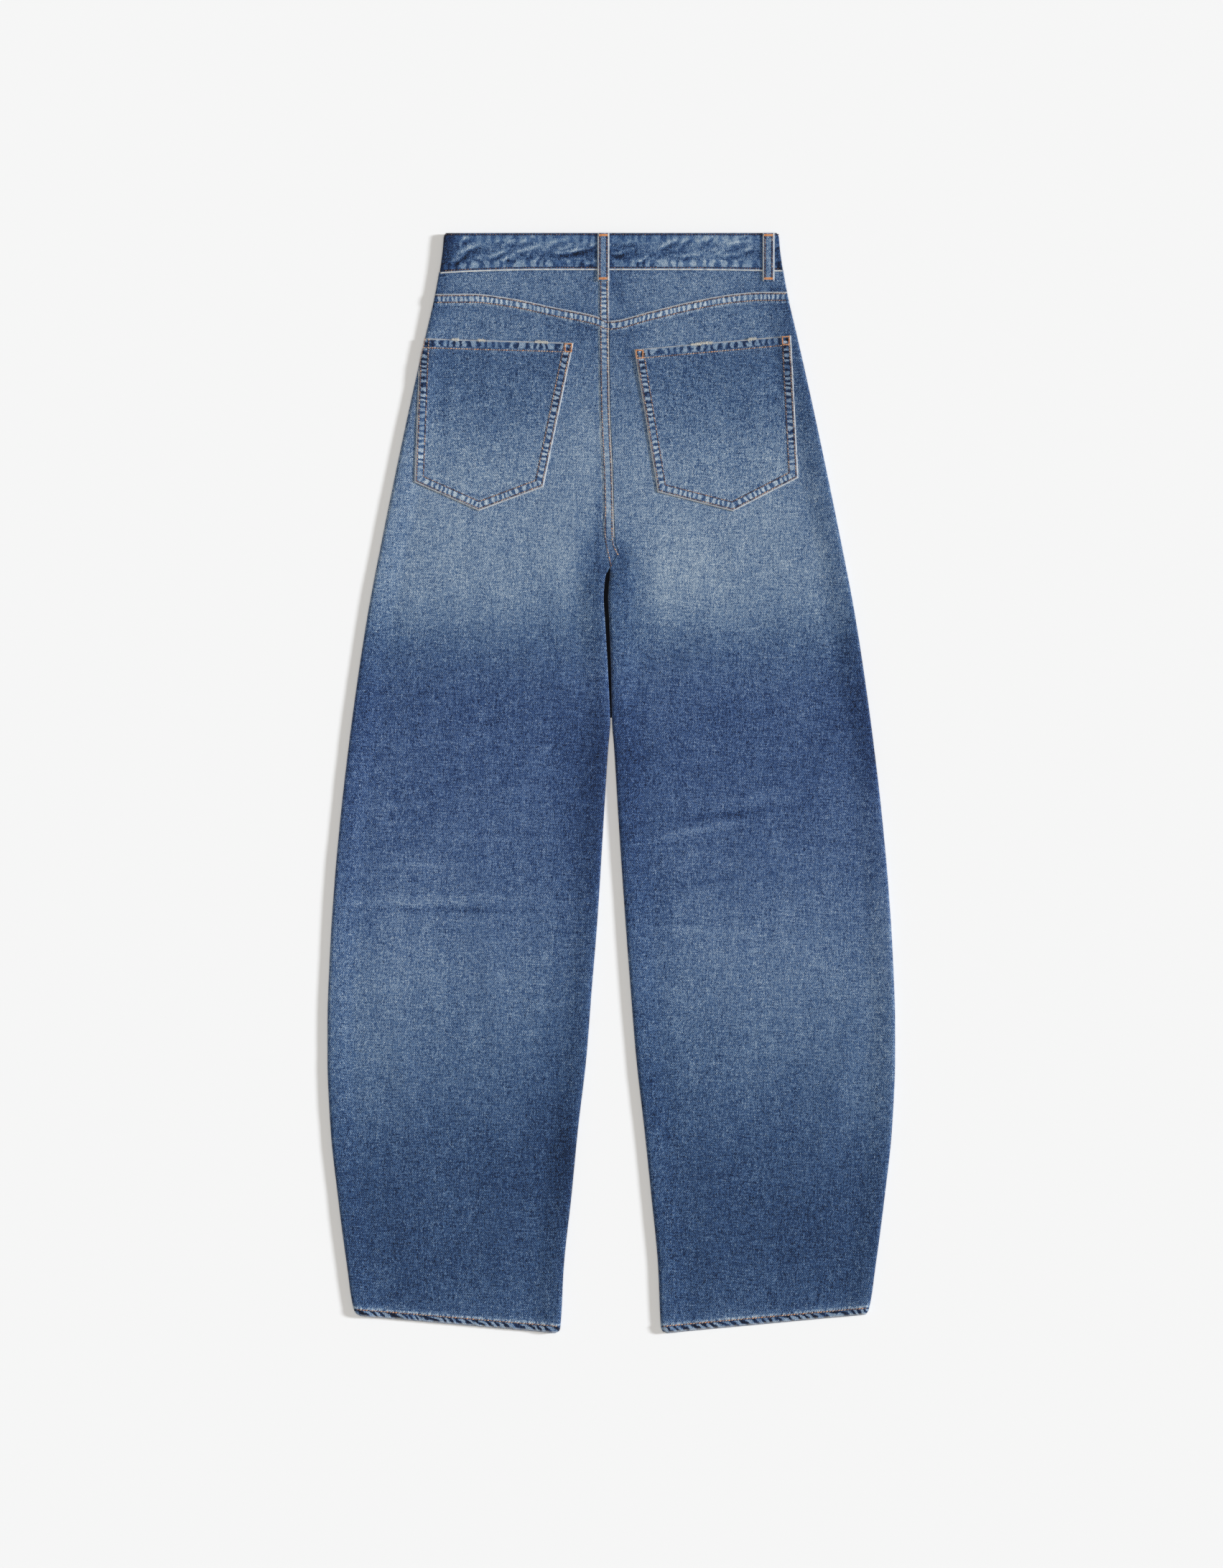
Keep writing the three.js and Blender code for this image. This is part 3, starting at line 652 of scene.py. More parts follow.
class Wire:
    """An output socket that takes part in arithmetic; each sum or product adds its node."""

    def __init__(self, book: "NodeBook", socket: bpy.types.NodeSocket) -> None:
        """Keeps the socket and where new nodes go."""
        self.book, self.socket = book, socket

    def _maths(self, operation: str, *values: object) -> "Wire":
        """A Math node of this operation on the values, in order."""
        return self.book.add("ShaderNodeMath", {"operation": operation}, list(values))

    def __add__(self, other: object) -> "Wire":
        """self + other."""
        return self._maths("ADD", self, other)

    __radd__ = __add__

    def __sub__(self, other: object) -> "Wire":
        """self - other."""
        return self._maths("SUBTRACT", self, other)

    def __rsub__(self, other: object) -> "Wire":
        """other - self."""
        return self._maths("SUBTRACT", other, self)

    def __mul__(self, other: object) -> "Wire":
        """self * other."""
        return self._maths("MULTIPLY", self, other)

    __rmul__ = __mul__

    def sine(self) -> "Wire":
        """Sine of self."""
        return self._maths("SINE", self)

    def size(self) -> "Wire":
        """Self without its sign."""
        return self._maths("ABSOLUTE", self)

    def at_least(self, other: object) -> "Wire":
        """The larger of the two."""
        return self._maths("MAXIMUM", self, other)

    def eased(self, start: float, end: float) -> "Wire":
        """Smooth step from 0 at start to 1 at end.

        Args:
            start: Where it is 0.
            end: Where it is 1; it may be the smaller number.

        Returns:
            The share.
        """
        limits = {"Value": self, "From Min": min(start, end), "From Max": max(start, end)}
        if start > end:
            limits.update({"To Min": 1.0, "To Max": 0.0})
        return self.book.add("ShaderNodeMapRange", {"interpolation_type": "SMOOTHSTEP"}, limits)


class NodeBook:
    """One material's node tree, with a single way to add a node."""

    def __init__(self, name: str) -> None:
        """Starts an empty material.

        Args:
            name: Name of the material.
        """
        self.material = bpy.data.materials.new(name)
        self.material.use_nodes = True
        self.tree = self.material.node_tree
        self.tree.nodes.clear()

    def add(self, kind: str, settings: dict | None = None, inputs: object = None, output: object = 0) -> Wire:
        """Adds a node, sets it and links or fills its inputs.

        Args:
            kind: The node's type.
            settings: Properties of the node.
            inputs: Values or wires, by socket name or in order.
            output: Which output to hand back.

        Returns:
            The wire from that output.
        """
        node = self.tree.nodes.new(kind)
        for key, value in (settings or {}).items():
            setattr(node, key, value)
        pairs = inputs.items() if isinstance(inputs, dict) else enumerate(inputs or [])
        for key, value in pairs:
            if isinstance(value, Wire):
                self.tree.links.new(value.socket, node.inputs[key])
            else:
                node.inputs[key].default_value = value
        return Wire(self, node.outputs[output] if len(node.outputs) else None)

    def place(self, turn: float = 0.0) -> Wire:
        """Object coordinates in millimetres, turned about the upright by the cloth's grain."""
        where = self.add("ShaderNodeTexCoord", output="Object")
        inputs = {"Vector": where, "Rotation": (0.0, 0.0, math.radians(turn)), "Scale": (1000.0,) * 3}
        return self.add("ShaderNodeMapping", {"vector_type": "POINT"}, inputs)

    def parts(self, vector: Wire) -> tuple[Wire, Wire, Wire]:
        """The three parts of a vector."""
        first = self.add("ShaderNodeSeparateXYZ", None, [vector])
        outputs = first.socket.node.outputs
        return first, Wire(self, outputs[1]), Wire(self, outputs[2])

    def painted(self, label: str) -> tuple[Wire, Wire, Wire]:
        """The three numbers painted on the points under a label."""
        return self.parts(self.add("ShaderNodeAttribute", {"attribute_name": label}, output="Vector"))

    def scaled(self, vector: Wire, step: float | tuple[float, float, float]) -> Wire:
        """A place divided by a step, which is one number or one for each axis."""
        steps = np.broadcast_to(step, 3).tolist()
        return self.add("ShaderNodeVectorMath", {"operation": "DIVIDE"}, [vector, steps])

    def noise(self, vector: Wire, step: float | tuple[float, float, float], detail: float = 0.0,
              rough: float = 0.5) -> Wire:
        """Noise from 0 to 1 with spots of the given sizes.

        Args:
            vector: Place in millimetres.
            step: Size of a spot, or its sizes along the axes, in millimetres.
            detail: Finer octaves on top.
            rough: How strong they are.

        Returns:
            The noise's value.
        """
        scaled = self.scaled(vector, step)
        inputs = {"Vector": scaled, "Scale": 1.0, "Detail": detail, "Roughness": rough}
        return self.add("ShaderNodeTexNoise", {"noise_dimensions": "3D"}, inputs, "Fac")

    def cells(self, vector: Wire, step: tuple[float, float, float]) -> Wire:
        """One random number from 0 to 1 for each cell of the given sizes."""
        whole = self.add("ShaderNodeVectorMath", {"operation": "FLOOR"}, [self.scaled(vector, step)])
        return self.add("ShaderNodeTexWhiteNoise", {"noise_dimensions": "3D"}, [whole], "Value")

    def ramp(self, value: Wire, stops: Sequence[tuple[float, tuple[int, int, int]]]) -> Wire:
        """Colour by value through the stops.

        Args:
            value: Where to read the ramp.
            stops: Positions and 8-bit colours.

        Returns:
            The colour.
        """
        wire = self.add("ShaderNodeValToRGB", None, [value])
        ramp = wire.socket.node.color_ramp
        while len(ramp.elements) < len(stops):
            ramp.elements.new(0.5)
        for element, (position, colour) in zip(ramp.elements, stops):
            element.position, element.color = position, linear(colour)
        return wire

    def blend(self, share: object, first: object, second: object) -> Wire:
        """Colour between two, by share."""
        settings = {"data_type": "RGBA", "blend_type": "MIX"}
        return self.add("ShaderNodeMix", settings, {0: share, 6: first, 7: second}, 2)

    def finish(self, colour: object, rough: object, bump: tuple[Wire, float] | None,
               **fixed: float) -> bpy.types.Material:
        """Puts the surface shader and output on.

        Args:
            colour: Colour or its wire.
            rough: Roughness or its wire.
            bump: Height wire and its full height in metres.
            fixed: Other sockets of the shader by name, with _ for a space.

        Returns:
            The material.
        """
        inputs = {"Base Color": colour, "Roughness": rough}
        inputs.update({key.replace("_", " "): value for key, value in fixed.items()})
        if bump:
            relief = {"Height": bump[0], "Distance": bump[1], "Strength": 1.0}
            inputs["Normal"] = self.add("ShaderNodeBump", None, relief)
        shader = self.add("ShaderNodeBsdfPrincipled", None, inputs)
        self.add("ShaderNodeOutputMaterial", None, {"Surface": shader})
        return self.material


def linear(colour: tuple[int, int, int]) -> tuple[float, float, float, float]:
    """An 8-bit display colour as the shader's linear numbers."""
    share = np.array(colour, float) / 255.0
    low, high = share / 12.92, ((share + 0.055) / 1.055) ** 2.4
    return (*np.where(share <= 0.04045, low, high).tolist(), 1.0)


INDIGO = (
    (0.00, (2, 5, 16)), (0.16, (15, 38, 75)), (0.24, (31, 61, 104)), (0.33, (53, 85, 128)),
    (0.51, (107, 131, 157)), (0.80, (192, 202, 208)),
)
DEEP_INDIGO = (
    (0.00, (3, 5, 20)), (0.16, (18, 38, 82)), (0.24, (35, 61, 113)), (0.33, (59, 85, 140)),
    (0.51, (110, 132, 169)), (0.80, (192, 202, 212)),
)
CREAM = (206, 206, 202)


@dataclass(frozen=True)
class Ladder:
    """Light and dark puckers in a sewn band, and its worn edge.

    It reads a painted place along the band, distance from its edge and rubbed share. Puckers come at a pitch,
    from start to end, with a depth, a lean and a share that is dark. The edge is worn, the cloth past the band
    fuzzed, and the stitch rows lie in beds.
    """

    reads: str
    pitch: float
    start: float
    end: float
    depth: float
    worn: float = 0.8
    lean: float = 0.0
    rows: tuple[float, ...] = ()
    fuzz: float = 0.10
    dark: float = 0.5


@dataclass(frozen=True)
class Denim:
    """Washed indigo denim: twill, pepper and slub on the wash, with its sewn bands."""

    name: str
    grain: float = 0.0
    ladders: tuple[Ladder, ...] = ()
    pepper: float = 1.0
    # the twill's share in the grain, a shade over all, how ragged worn places are, and a stitch bed's shade
    # and its half width's outer and inner end
    ridge: ClassVar[float] = 0.09
    base: ClassVar[float] = -0.05
    ragged: ClassVar[float] = 1.8
    bed_shade: ClassVar[float] = 0.19
    bed: ClassVar[tuple[float, float]] = (1.25, 0.45)

    def weave(self, book: NodeBook, place: Wire) -> tuple[Wire, Wire, Wire]:
        """Pepper of worn threads, slub streaks both ways and the twill's slanting lines.

        Args:
            book: The material being made.
            place: Place on the cloth in millimetres.

        Returns:
            Pepper and streaks about 0, and the twill's line from -1 to 1.
        """
        x, y, _ = book.parts(place)
        blots = book.noise(place, (1.9, 2.3, 2.0), 1.0, 0.6) - 0.5
        specks = book.noise(place, (0.5, 0.6, 2.0), 0.0) - 0.5
        yarns = book.cells(place, (0.5, 0.7, 40.0)) - 0.5
        slub = book.noise(place, (0.8, 8.0, 8.0), 1.0, 0.7) - 0.5
        weft = book.noise(place, (9.0, 0.8, 8.0), 1.0, 0.7) - 0.5
        wander = book.noise(place, 6.0) * 3.0
        twill = ((x * 0.78 + y * 0.62) * (2 * math.pi / 1.5) + wander).sine()
        return blots * 0.26 + specks * 0.68 + yarns * 0.28, slub * 0.44 + weft * 0.38, twill

    def band(self, book: NodeBook, ladder: Ladder, place: Wire, pepper: Wire) -> tuple[Wire, Wire, Wire]:
        """What one sewn band adds to the lightness, and its worn edge's share.

        Args:
            book: The material being made.
            ladder: The band's puckers and edge.
            place: Place on the cloth in millimetres.
            pepper: Worn threads about 0.

        Returns:
            Lightness to add, share of the worn edge, and share of the band.
        """
        first, last = ladder.start, ladder.end
        along, edge, rubbed = book.painted(ladder.reads)
        walk = book.add("ShaderNodeCombineXYZ", None, {"X": along, "Y": along * 0.37})
        drift = book.noise(walk, 30.0) * 3.0 + book.noise(place, 4.5) * 0.6
        turns = (along + edge * ladder.lean) * (1.0 / ladder.pitch) + drift
        rung = ((turns * (2 * math.pi)).sine() + pepper * self.ragged).eased(-0.7, 0.6)
        inside = edge.eased(first - 0.4, first + 0.4) * edge.eased(last + 0.5, last - 0.5)
        strength = book.noise(place, 17.0).eased(0.2, 0.55) * 0.5 + 0.5
        shade = (rung - 0.5) * (1.0 - rubbed) + (1.0 - rubbed * 0.6) * (0.5 - ladder.dark)
        lightness = shade * inside * strength * ladder.depth
        for row in ladder.rows:
            bed = (edge - row).size().eased(*self.bed)
            lightness = lightness - bed * self.bed_shade
        beyond = edge.eased(last + 0.6, last + 1.3) * edge.eased(last + 4.8, last + 1.6)
        streak = book.noise(place, (1.4, 7.0, 7.0) if ladder.reads != "mouth" else (1.4, 5.0, 7.0), 1.0)
        lightness = lightness + beyond * streak.eased(0.34, 0.58) * ladder.fuzz
        ragged = edge + pepper * self.ragged
        broken = book.noise(place, 4.0).eased(0.2, 0.5) * 0.5 + 0.5
        return lightness, (rubbed * 0.2 + 1.0) * ragged.eased(1.55, 0.85) * broken * ladder.worn, inside

    def build(self) -> bpy.types.Material:
        """Lightness through the indigo ramp, worn edges in cream, and a bump from the weave."""
        book = NodeBook(self.name)
        place = book.place(self.grain)
        # the second painted number holds worn places and painted shade beside seams and in hollows
        light, wear_and_shade, deep = book.painted("wash_and_shade")
        pepper, streaks, twill = self.weave(book, place)
        grain = (pepper + streaks * 0.9 + twill * self.ridge) * (light * 0.35 + 0.84) * self.pepper
        value = light + wear_and_shade + self.base
        worn = calm = None
        for ladder in self.ladders:
            added, edge, inside = self.band(book, ladder, place, pepper)
            value = value + added
            worn = edge if worn is None else worn.at_least(edge)
            calm = inside if calm is None else calm.at_least(inside)
        if calm is not None:
            grain = grain * (1.0 - calm * 0.4)
        value = value + grain
        colour = book.blend(deep, book.ramp(value, INDIGO), book.ramp(value, DEEP_INDIGO))
        if worn is not None:
            colour = book.blend(worn, colour, linear(CREAM))
        height = pepper * 0.55 + twill * 0.16 + streaks * 0.5
        soft = {"Sheen_Weight": 0.12, "Sheen_Roughness": 0.6, "Specular_IOR_Level": 0.18}
        return book.finish(colour, pepper * 0.12 + 0.9, (height, 0.22 * MM), **soft)


@dataclass(frozen=True)
class Thread:
    """Twisted sewing thread, from dark worn to orange by each stitch's painted tone."""

    name: str
    dark: tuple[int, int, int] = (46, 36, 52)
    tan: tuple[int, int, int] = (146, 118, 110)
    pale: tuple[int, int, int] = (204, 184, 166)
    bright: tuple[int, int, int] = (230, 150, 84)

    def build(self) -> bpy.types.Material:
        """Four colours by tone, with painted light and shade along the twist."""
        book = NodeBook(self.name)
        place = book.place()
        tone, _, _ = book.painted("tone")
        x, y, _ = book.parts(place)
        twist = ((x * 0.9 + y * 0.8) * (2 * math.pi / 0.62)).sine()
        stain = book.noise(place, 1.6) - 0.5
        value = tone + stain * 0.5 + twist * 0.08
        colour = book.ramp(value, ((0.0, self.dark), (0.42, self.tan), (0.7, self.pale), (1.0, self.bright)))
        rough = twist * 0.08 + 0.68
        return book.finish(colour, rough, (twist, 0.08 * MM), Sheen_Weight=0.1, Specular_IOR_Level=0.3)


@dataclass(frozen=True)
class Copper:
    """Dull copper of the waist button, with handling marks."""

    name: str = "copper_button"

    def build(self) -> bpy.types.Material:
        """Metal between two browns by a mottle, rougher where paler."""
        book = NodeBook(self.name)
        mottle = book.noise(book.place(), 2.4, 3.0, 0.6)
        colour = book.ramp(mottle, ((0.3, (118, 78, 52)), (0.7, (186, 128, 90))))
        return book.finish(colour, mottle * 0.25 + 0.25, (mottle, 0.06 * MM), Metallic=0.95)


@dataclass(frozen=True)
class Paper:
    """The pale matt surface that the garment lies on."""

    name: str = "pale_floor"
    colour: tuple[int, int, int] = (243, 243, 243)

    def build(self) -> bpy.types.Material:
        """One pale colour with a trace of grain in its roughness."""
        book = NodeBook(self.name)
        grain = book.noise(book.place(), 3.0, 1.0)
        return book.finish(linear(self.colour), grain * 0.05 + 0.93, None, Specular_IOR_Level=0.1)


# what each reads, its pitch, start, end and depth; of the loops' one only the worn edge and the beds show
FELL = Ladder("fell", 4.9, 2.4, 7.6, 0.36, worn=0.6, rows=(1.8, 8.3), fuzz=0.22, dark=0.06)
HEM = Ladder("hem", 9.5, 0.4, 5.3, 0.52, worn=0.3, lean=1.3, rows=(6.2,), fuzz=0.36, dark=0.45)
RIM = Ladder("rim", 5.6, 2.8, 8.0, 0.44, worn=0.7, rows=(2.1, 8.7), fuzz=0.08, dark=0.42)
MOUTH = Ladder("mouth", 7.6, 1.4, 7.2, 0.40, worn=0.55, rows=(9.1,), fuzz=0.24, dark=0.40)
FOOT = Ladder("foot", 10.5, 3.2, 10.0, 0.24, worn=0.9, rows=(2.6,), fuzz=0.0, dark=0.5)
CROWN = Ladder("crown", 10.0, 2.2, 9.5, 0.13, worn=0.0, rows=(1.6,), fuzz=0.0, dark=0.5)
LOOP_EDGE = Ladder("edge", 4.0, 20.0, 21.0, 0.0, worn=0.8, rows=(2.4,), fuzz=0.0)


class Sewing:
    """Rows of stitches laid on a surface, gathered into one object."""

    # how far from a stitch the path's direction is read, how unevenly stitches turn, and a stitch's sides
    look = 0.6
    sway = 0.04
    sides = 6

    def __init__(self, name: str, seed: int) -> None:
        """Starts with no stitches, and with its own seeded draws."""
        self.name, self.draw = name, np.random.default_rng(seed)
        self.parts: list[tuple[Array, Array]] = []

    def row(self, path: Array, pitch: float = 2.6, long: float = 2.3, thick: float = 1.1, tone: float = 0.36,
            spread: float = 0.3, yaw: float = 0.3, up: Array = UPWARD) -> None:
        """Adds stitches at equal distances along a path: round bars, thin and sunk at their ends.

        Args:
            path: Points of the path on the cloth, in millimetres, one a row.
            pitch: Distance between stitches.
            long: Length of a stitch.
            thick: Its thickness.
            tone: Middle of the thread's tone.
            spread: How far the tones vary.
            yaw: How far a stitch is turned from the path.
            up: Direction out of the cloth.
        """
        reach = walked(path)
        stations = np.arange(pitch / 2, reach[-1], pitch)
        if not len(stations):
            return
        centre, ahead, behind = (
            np.stack([np.interp(stations + shift, reach, column) for column in path.T], axis=1)
            for shift in (0.0, self.look, -self.look)
        )
        tangent = unit(ahead - behind)
        side = unit(np.cross(up, tangent))
        normal = np.cross(tangent, side)
        turn = yaw + self.draw.normal(0.0, self.sway, (len(stations), 1))
        turned = tangent * np.cos(turn) + side * np.sin(turn)
        side = side * np.cos(turn) - tangent * np.sin(turn)
        self.bars(centre, turned, side, normal, long, thick, tone, spread)

    def bars(self, centre: Array, tangent: Array, side: Array, normal: Array, long: float, thick: float,
             tone: float, spread: float) -> None:
        """Adds bars: at each place along, a ring of radius times the bar's swell, less the sink at the ends.

        Args:
            centre: Middle of each bar, one a row.
            tangent: Direction of each bar.
            side: Direction across it on the cloth.
            normal: Direction out of the cloth.
            long: Length of a bar.
            thick: Its thickness.
            tone: Middle of the thread's tone.
            spread: How far the tones vary.
        """
        along = np.array([-0.5, -0.34, 0.0, 0.34, 0.5])[:, None, None]
        swell = np.array([0.45, 0.9, 1.0, 0.9, 0.45])[:, None, None] * thick / 2
        angle = (np.arange(self.sides) * 2 * math.pi / self.sides)[:, None]
        out = swell * np.sin(angle) - 1.5 * along**2
        centre, tangent, side, normal = (rows[:, None, None, :] for rows in (centre, tangent, side, normal))
        points = centre + tangent * (along * long) + side * (swell * np.cos(angle)) + normal * out
        tones = np.clip(tone + self.draw.uniform(-spread, spread, len(centre)), 0.0, 1.0)
        self.parts.append((points.reshape(len(centre), -1, 3), tones))

    def mesh(self) -> bpy.types.Object:
        """Joins the stitches into one mesh: four bands of six sides, closed by two hexagons cut in quads.

        Returns:
            The object.
        """
        points, tones = (np.concatenate(column) for column in zip(*self.parts))
        each, sides = points.shape[1], self.sides
        ring, turn = np.meshgrid(np.arange(0, each - sides, sides), np.arange(sides), indexing="ij")
        after = ring + (turn + 1) % sides
        turn = ring + turn
        bands = np.stack([turn, turn + sides, after + sides, after], axis=-1).reshape(-1, 4)
        caps = np.array([[0, 1, 2, 3], [0, 3, 4, 5], [27, 26, 25, 24], [29, 28, 27, 24]])
        one = np.concatenate([bands, caps])
        faces = (one + each * np.arange(len(points))[:, None, None]).reshape(-1, 4)
        obj = mesh_object(self.name, points.reshape(-1, 3) * MM, faces)
        paint_points(obj, "tone", np.repeat(three(tones, tones, tones), each, axis=0))
        return obj


def place_on(x: Array, down: Array, z: Array) -> Array:
    """Points in millimetres, one a row, from x, distance down and height."""
    return three(x, LENGTH / 2 - down, z)


def grooves(wide: float, *bands: tuple[Array, Sequence[float]]) -> Array:
    """Sum of a bell at each stitch row, over pairs of a band's distance and its rows."""
    return sum(bell(distance - row, wide) for distance, rows in bands for row in rows)


def wave(x: Array, pitch: float, sway: float, size: float, line: float = 0.0) -> Array:
    """A sine along x with the pitch, its phase swayed by seeded unevenness of the size, read on one line."""
    return np.sin(2 * math.pi * x / pitch + sway * FINE(x, np.full_like(x, line), size))


def felled(distance: Array) -> Array:
    """Share of a felled band's height by the distance from its worn edge."""
    return between(FELL_WIDTH + 1.6, FELL_WIDTH + 0.3, distance)


@dataclass
class BackLeg:
    """A back leg panel with its felled seams and hem, round both folds of the leg."""

    side: int
    step: float = 2.0
    near_reach: float = 25.0
    end_reach: float = 24.0

    def fell_distance(self, x: Array, down: Array) -> tuple[Array, Array]:
        """Distances from the worn edges of the yoke seam and of the centre seam.

        Args:
            x: Places across.
            down: Places down.

        Returns:
            Both distances; far away on the half whose centre seam lies under.
        """
        below = down - YOKE_SEAM(x)
        if self.side > 0:
            return below, np.full_like(below, FAR)
        gone = FAR * between(296.0, 312.0, down)
        return below, np.abs(LAY.inner(self.side, down) - x) + gone

    def relief(self, x: Array, down: Array, to_hem: Array) -> Array:
        """Height over the middle surface: half the cloth, felled bands, hem, stitch grooves and waves.

        Args:
            x: Places across.
            down: Places down.
            to_hem: Distance left to the hem's edge.

        Returns:
            Heights in millimetres.
        """
        below, beside = self.fell_distance(x, down)
        height = CLOTH / 2 + FELL_RAISE * np.maximum(felled(below), felled(beside))
        height = height + HEM_RAISE * between(HEM_WIDTH, HEM_WIDTH - 1.2, to_hem)
        beds = ((below, FELL.rows), (beside, FELL.rows), (to_hem, HEM.rows))
        height = height - GROOVE_DEEP * grooves(GROOVE_WIDE, *beds)
        rope = np.sin(2 * math.pi * (x + HEM.lean * to_hem) / HEM.pitch + 2.0 * FINE(x, down * 0, 22.0))
        height = height + 0.22 * rope * between(7.0, 5.0, to_hem)
        rung = wave(x, FELL.pitch, 3.0, 14.0)
        pucker = bell(below - 5.0, 2.4) + 0.5 * bell(below - 11.5, 3.0)
        edge = bell(to_hem - 9.5, 3.0)
        drags = sum(line.at(x, down) for line in DRAG_LINES)
        return height + 0.13 * rung * pucker + 0.12 * rope * edge + drags + unevenness(x, down)

    def surface(self) -> Surface:
        """The panel's grid: rows from the yoke seam to the hem, columns from the outer lip to the inner end.

        Returns:
            The surface, with its edges turned under.
        """
        side = self.side
        head = graded(SEAM_TOP, 1060.0, 0.7, 12.6, self.step)
        nominal = np.concatenate([head, np.arange(1060.7, LENGTH, 0.75), [LENGTH]])[:, None]
        outer_down = LAY.leg_row(side, nominal, np.zeros_like(nominal))
        inner_down = LAY.leg_row(side, nominal, np.ones_like(nominal))
        radius = LAY.radius(outer_down)
        quarter = math.pi / 2 * radius
        lips = -quarter - SIDE_LIP[side] * np.array([1.0, 0.75, 0.5, 0.25])[None, :]
        arcs = radius * HALF_TURN
        pasts = quarter + np.arange(1.2, self.near_reach + 0.1, 1.7)[None, :]
        width = np.abs(LAY.inner(side, inner_down) - LAY.outer(side, outer_down))

        x_fold, z_fold, nx_fold, nz_fold = LAY.over_fold(side, outer_down, np.hstack([lips, arcs]))
        down_fold = np.broadcast_to(outer_down, x_fold.shape)
        x_near = LAY.over_fold(side, outer_down, pasts)[0]
        rests = np.concatenate([np.arange(self.end_reach, 10.0, -1.6), np.arange(10.0, -0.01, -0.7)])[None, :]
        x_end, z_end, nx_end, nz_end = LAY.near_end(side, inner_down, rests)
        count = int(np.max(np.abs(x_end[:, :1] - x_near[:, -1:])) / self.step)
        shares = (np.arange(1, count) / count)[None, :]
        x_flat = np.hstack([x_near, mixed(x_near[:, -1:], x_end[:, :1], shares)])
        outer = LAY.outer(side, outer_down)
        down_flat = LAY.leg_row(side, nominal, np.abs(x_flat - outer) / width)
        down_end = LAY.leg_row(side, nominal, np.abs(x_end - outer) / width)
        curled = LAY.curl(inner_down) > 0
        z_flat = LAY.high(side, x_flat, down_flat)
        z_end = np.where(curled, z_end, LAY.high(side, x_end, down_end))

        x = np.hstack([x_fold, x_flat, x_end])
        down = np.hstack([down_fold, down_flat, down_end])
        z = np.hstack([z_fold, z_flat, z_end])
        nx = np.hstack([nx_fold, x_flat * 0, nx_end])
        nz = np.hstack([nz_fold, x_flat * 0 + 1, nz_end])
        to_hem = np.broadcast_to(LENGTH - nominal, x.shape)
        top = np.clip(nz, 0.0, 1.0) ** 2
        lift = mixed(CLOTH / 2, self.relief(x, down, to_hem), top)
        under = nz < -0.5
        below, beside = self.fell_distance(x, down)
        light = WASH_AND_SHADE.at(x, down)
        edge = np.abs(LAY.outer(side, down) - x)
        # worn a little at the outer fold and over the hem, painted shade beside the felled seams, deeper blue
        # below
        rub = 0.02 * bell(edge - 3.0, 2.0) * between(430.0, 900.0, down)
        hem_light = 0.06 * between(16.0, 9.0, to_hem) * between(5.5, 7.5, to_hem)
        seam_shade = 0.035 * bell(below - 13.5, 5.0) + 0.025 * bell(beside - 13.0, 4.0)
        deep = 0.42 * between(370.0, 470.0, down) * between(820.0, 500.0, down)
        wash_and_shade = three(np.where(under, light * 0.9, light), rub + hem_light - seam_shade, deep)
        away = np.where(under, FAR, 0.0)
        nearer = below < beside
        rubbed = np.where(nearer, 0.05, 0.15 + 0.6 * between(90.0, 150.0, down))
        fell = three(np.where(nearer, x, down), np.minimum(below, beside) + away, rubbed)
        hem = three(x, to_hem, 0.0)
        cloth = Surface(x, down, z, nx, nz, lift, {"wash_and_shade": wash_and_shade, "fell": fell, "hem": hem})
        cloth = cloth.turned(Edge.TOP, [(-0.25, 0.35), (-0.3, 1.0), (0.4, 1.6)])
        return cloth.turned(Edge.FOOT, [(0.35, 0.3), (0.45, 0.9), (0.1, 1.5), (-3.0, 2.1), (-10.0, 3.4)])

    def top(self, x: Array, down: Array) -> Array:
        """Height of the panel's face at a place on its flat."""
        to_hem = LENGTH - down - HEM_SLANT[self.side] * (1 - self.across(x, down))
        return LAY.high(self.side, x, down) + self.relief(x, down, to_hem)

    def across(self, x: Array, down: Array) -> Array:
        """Share of the way from the outer fold to the inner end."""
        outer = LAY.outer(self.side, down)
        return np.abs(x - outer) / np.abs(LAY.inner(self.side, down) - outer)

    def sewing(self) -> Sewing:
        """Twin rows along the yoke and centre seams, and the single row of the hem.

        Returns:
            The stitches.
        """
        side = self.side
        sewing = Sewing(f"stitches_back_{SIDE_NAME[side]}", 40 + side)
        span = np.linspace(OUTLINE(60.0) * side - side * 1.6, -2.4 if side < 0 else -1.6, 400)
        for row in FELL.rows:
            down = YOKE_SEAM(span) + row
            reach = side * (OUTLINE(down) - 1.2)
            x = np.where(np.abs(span) > np.abs(reach), reach, span)
            tone = 0.36 if row == FELL.rows[0] else 0.46
            sewing.row(place_on(x, down, self.top(x, down) + THREAD_RISE), tone=tone, spread=0.34)
        if side < 0:
            # the centre seam's rows, straight and then along its turn into the fork, as down and x
            turns = {
                FELL.rows[0]: ((303.8, 1.9), (310.1, 4.7), (313.6, 6.5)),
                CENTRE_ROW: ((303.8, -4.7), (315.0, -2.3), (324.1, -0.2)),
            }
            for row, last in turns.items():
                down = np.linspace(92.0, last[-1][0], 300)
                straight = 270.0
                leaving = (straight, float(LAY.inner(side, straight)) - row)
                to_fork = Curve((leaving, (290.5, last[0][1] - 1.4), *last))
                x = np.where(down < straight, LAY.inner(side, down) - row, to_fork(down))
                sewing.row(place_on(x, down, self.top(x, down) + THREAD_RISE), tone=0.44, spread=0.36)
        nominal = LENGTH - HEM.rows[0]
        share = np.linspace(0.012, 0.985, 260)
        down = LAY.leg_row(side, np.full_like(share, nominal), share)
        x = mixed(LAY.outer(side, down[0]), LAY.inner(side, nominal), share)
        height = LAY.high(side, x, down) + self.relief(x, down, np.full_like(x, HEM.rows[0]))
        sewing.row(place_on(x, down, height + THREAD_RISE), tone=0.6, spread=0.3, pitch=2.9, long=2.5)
        return sewing


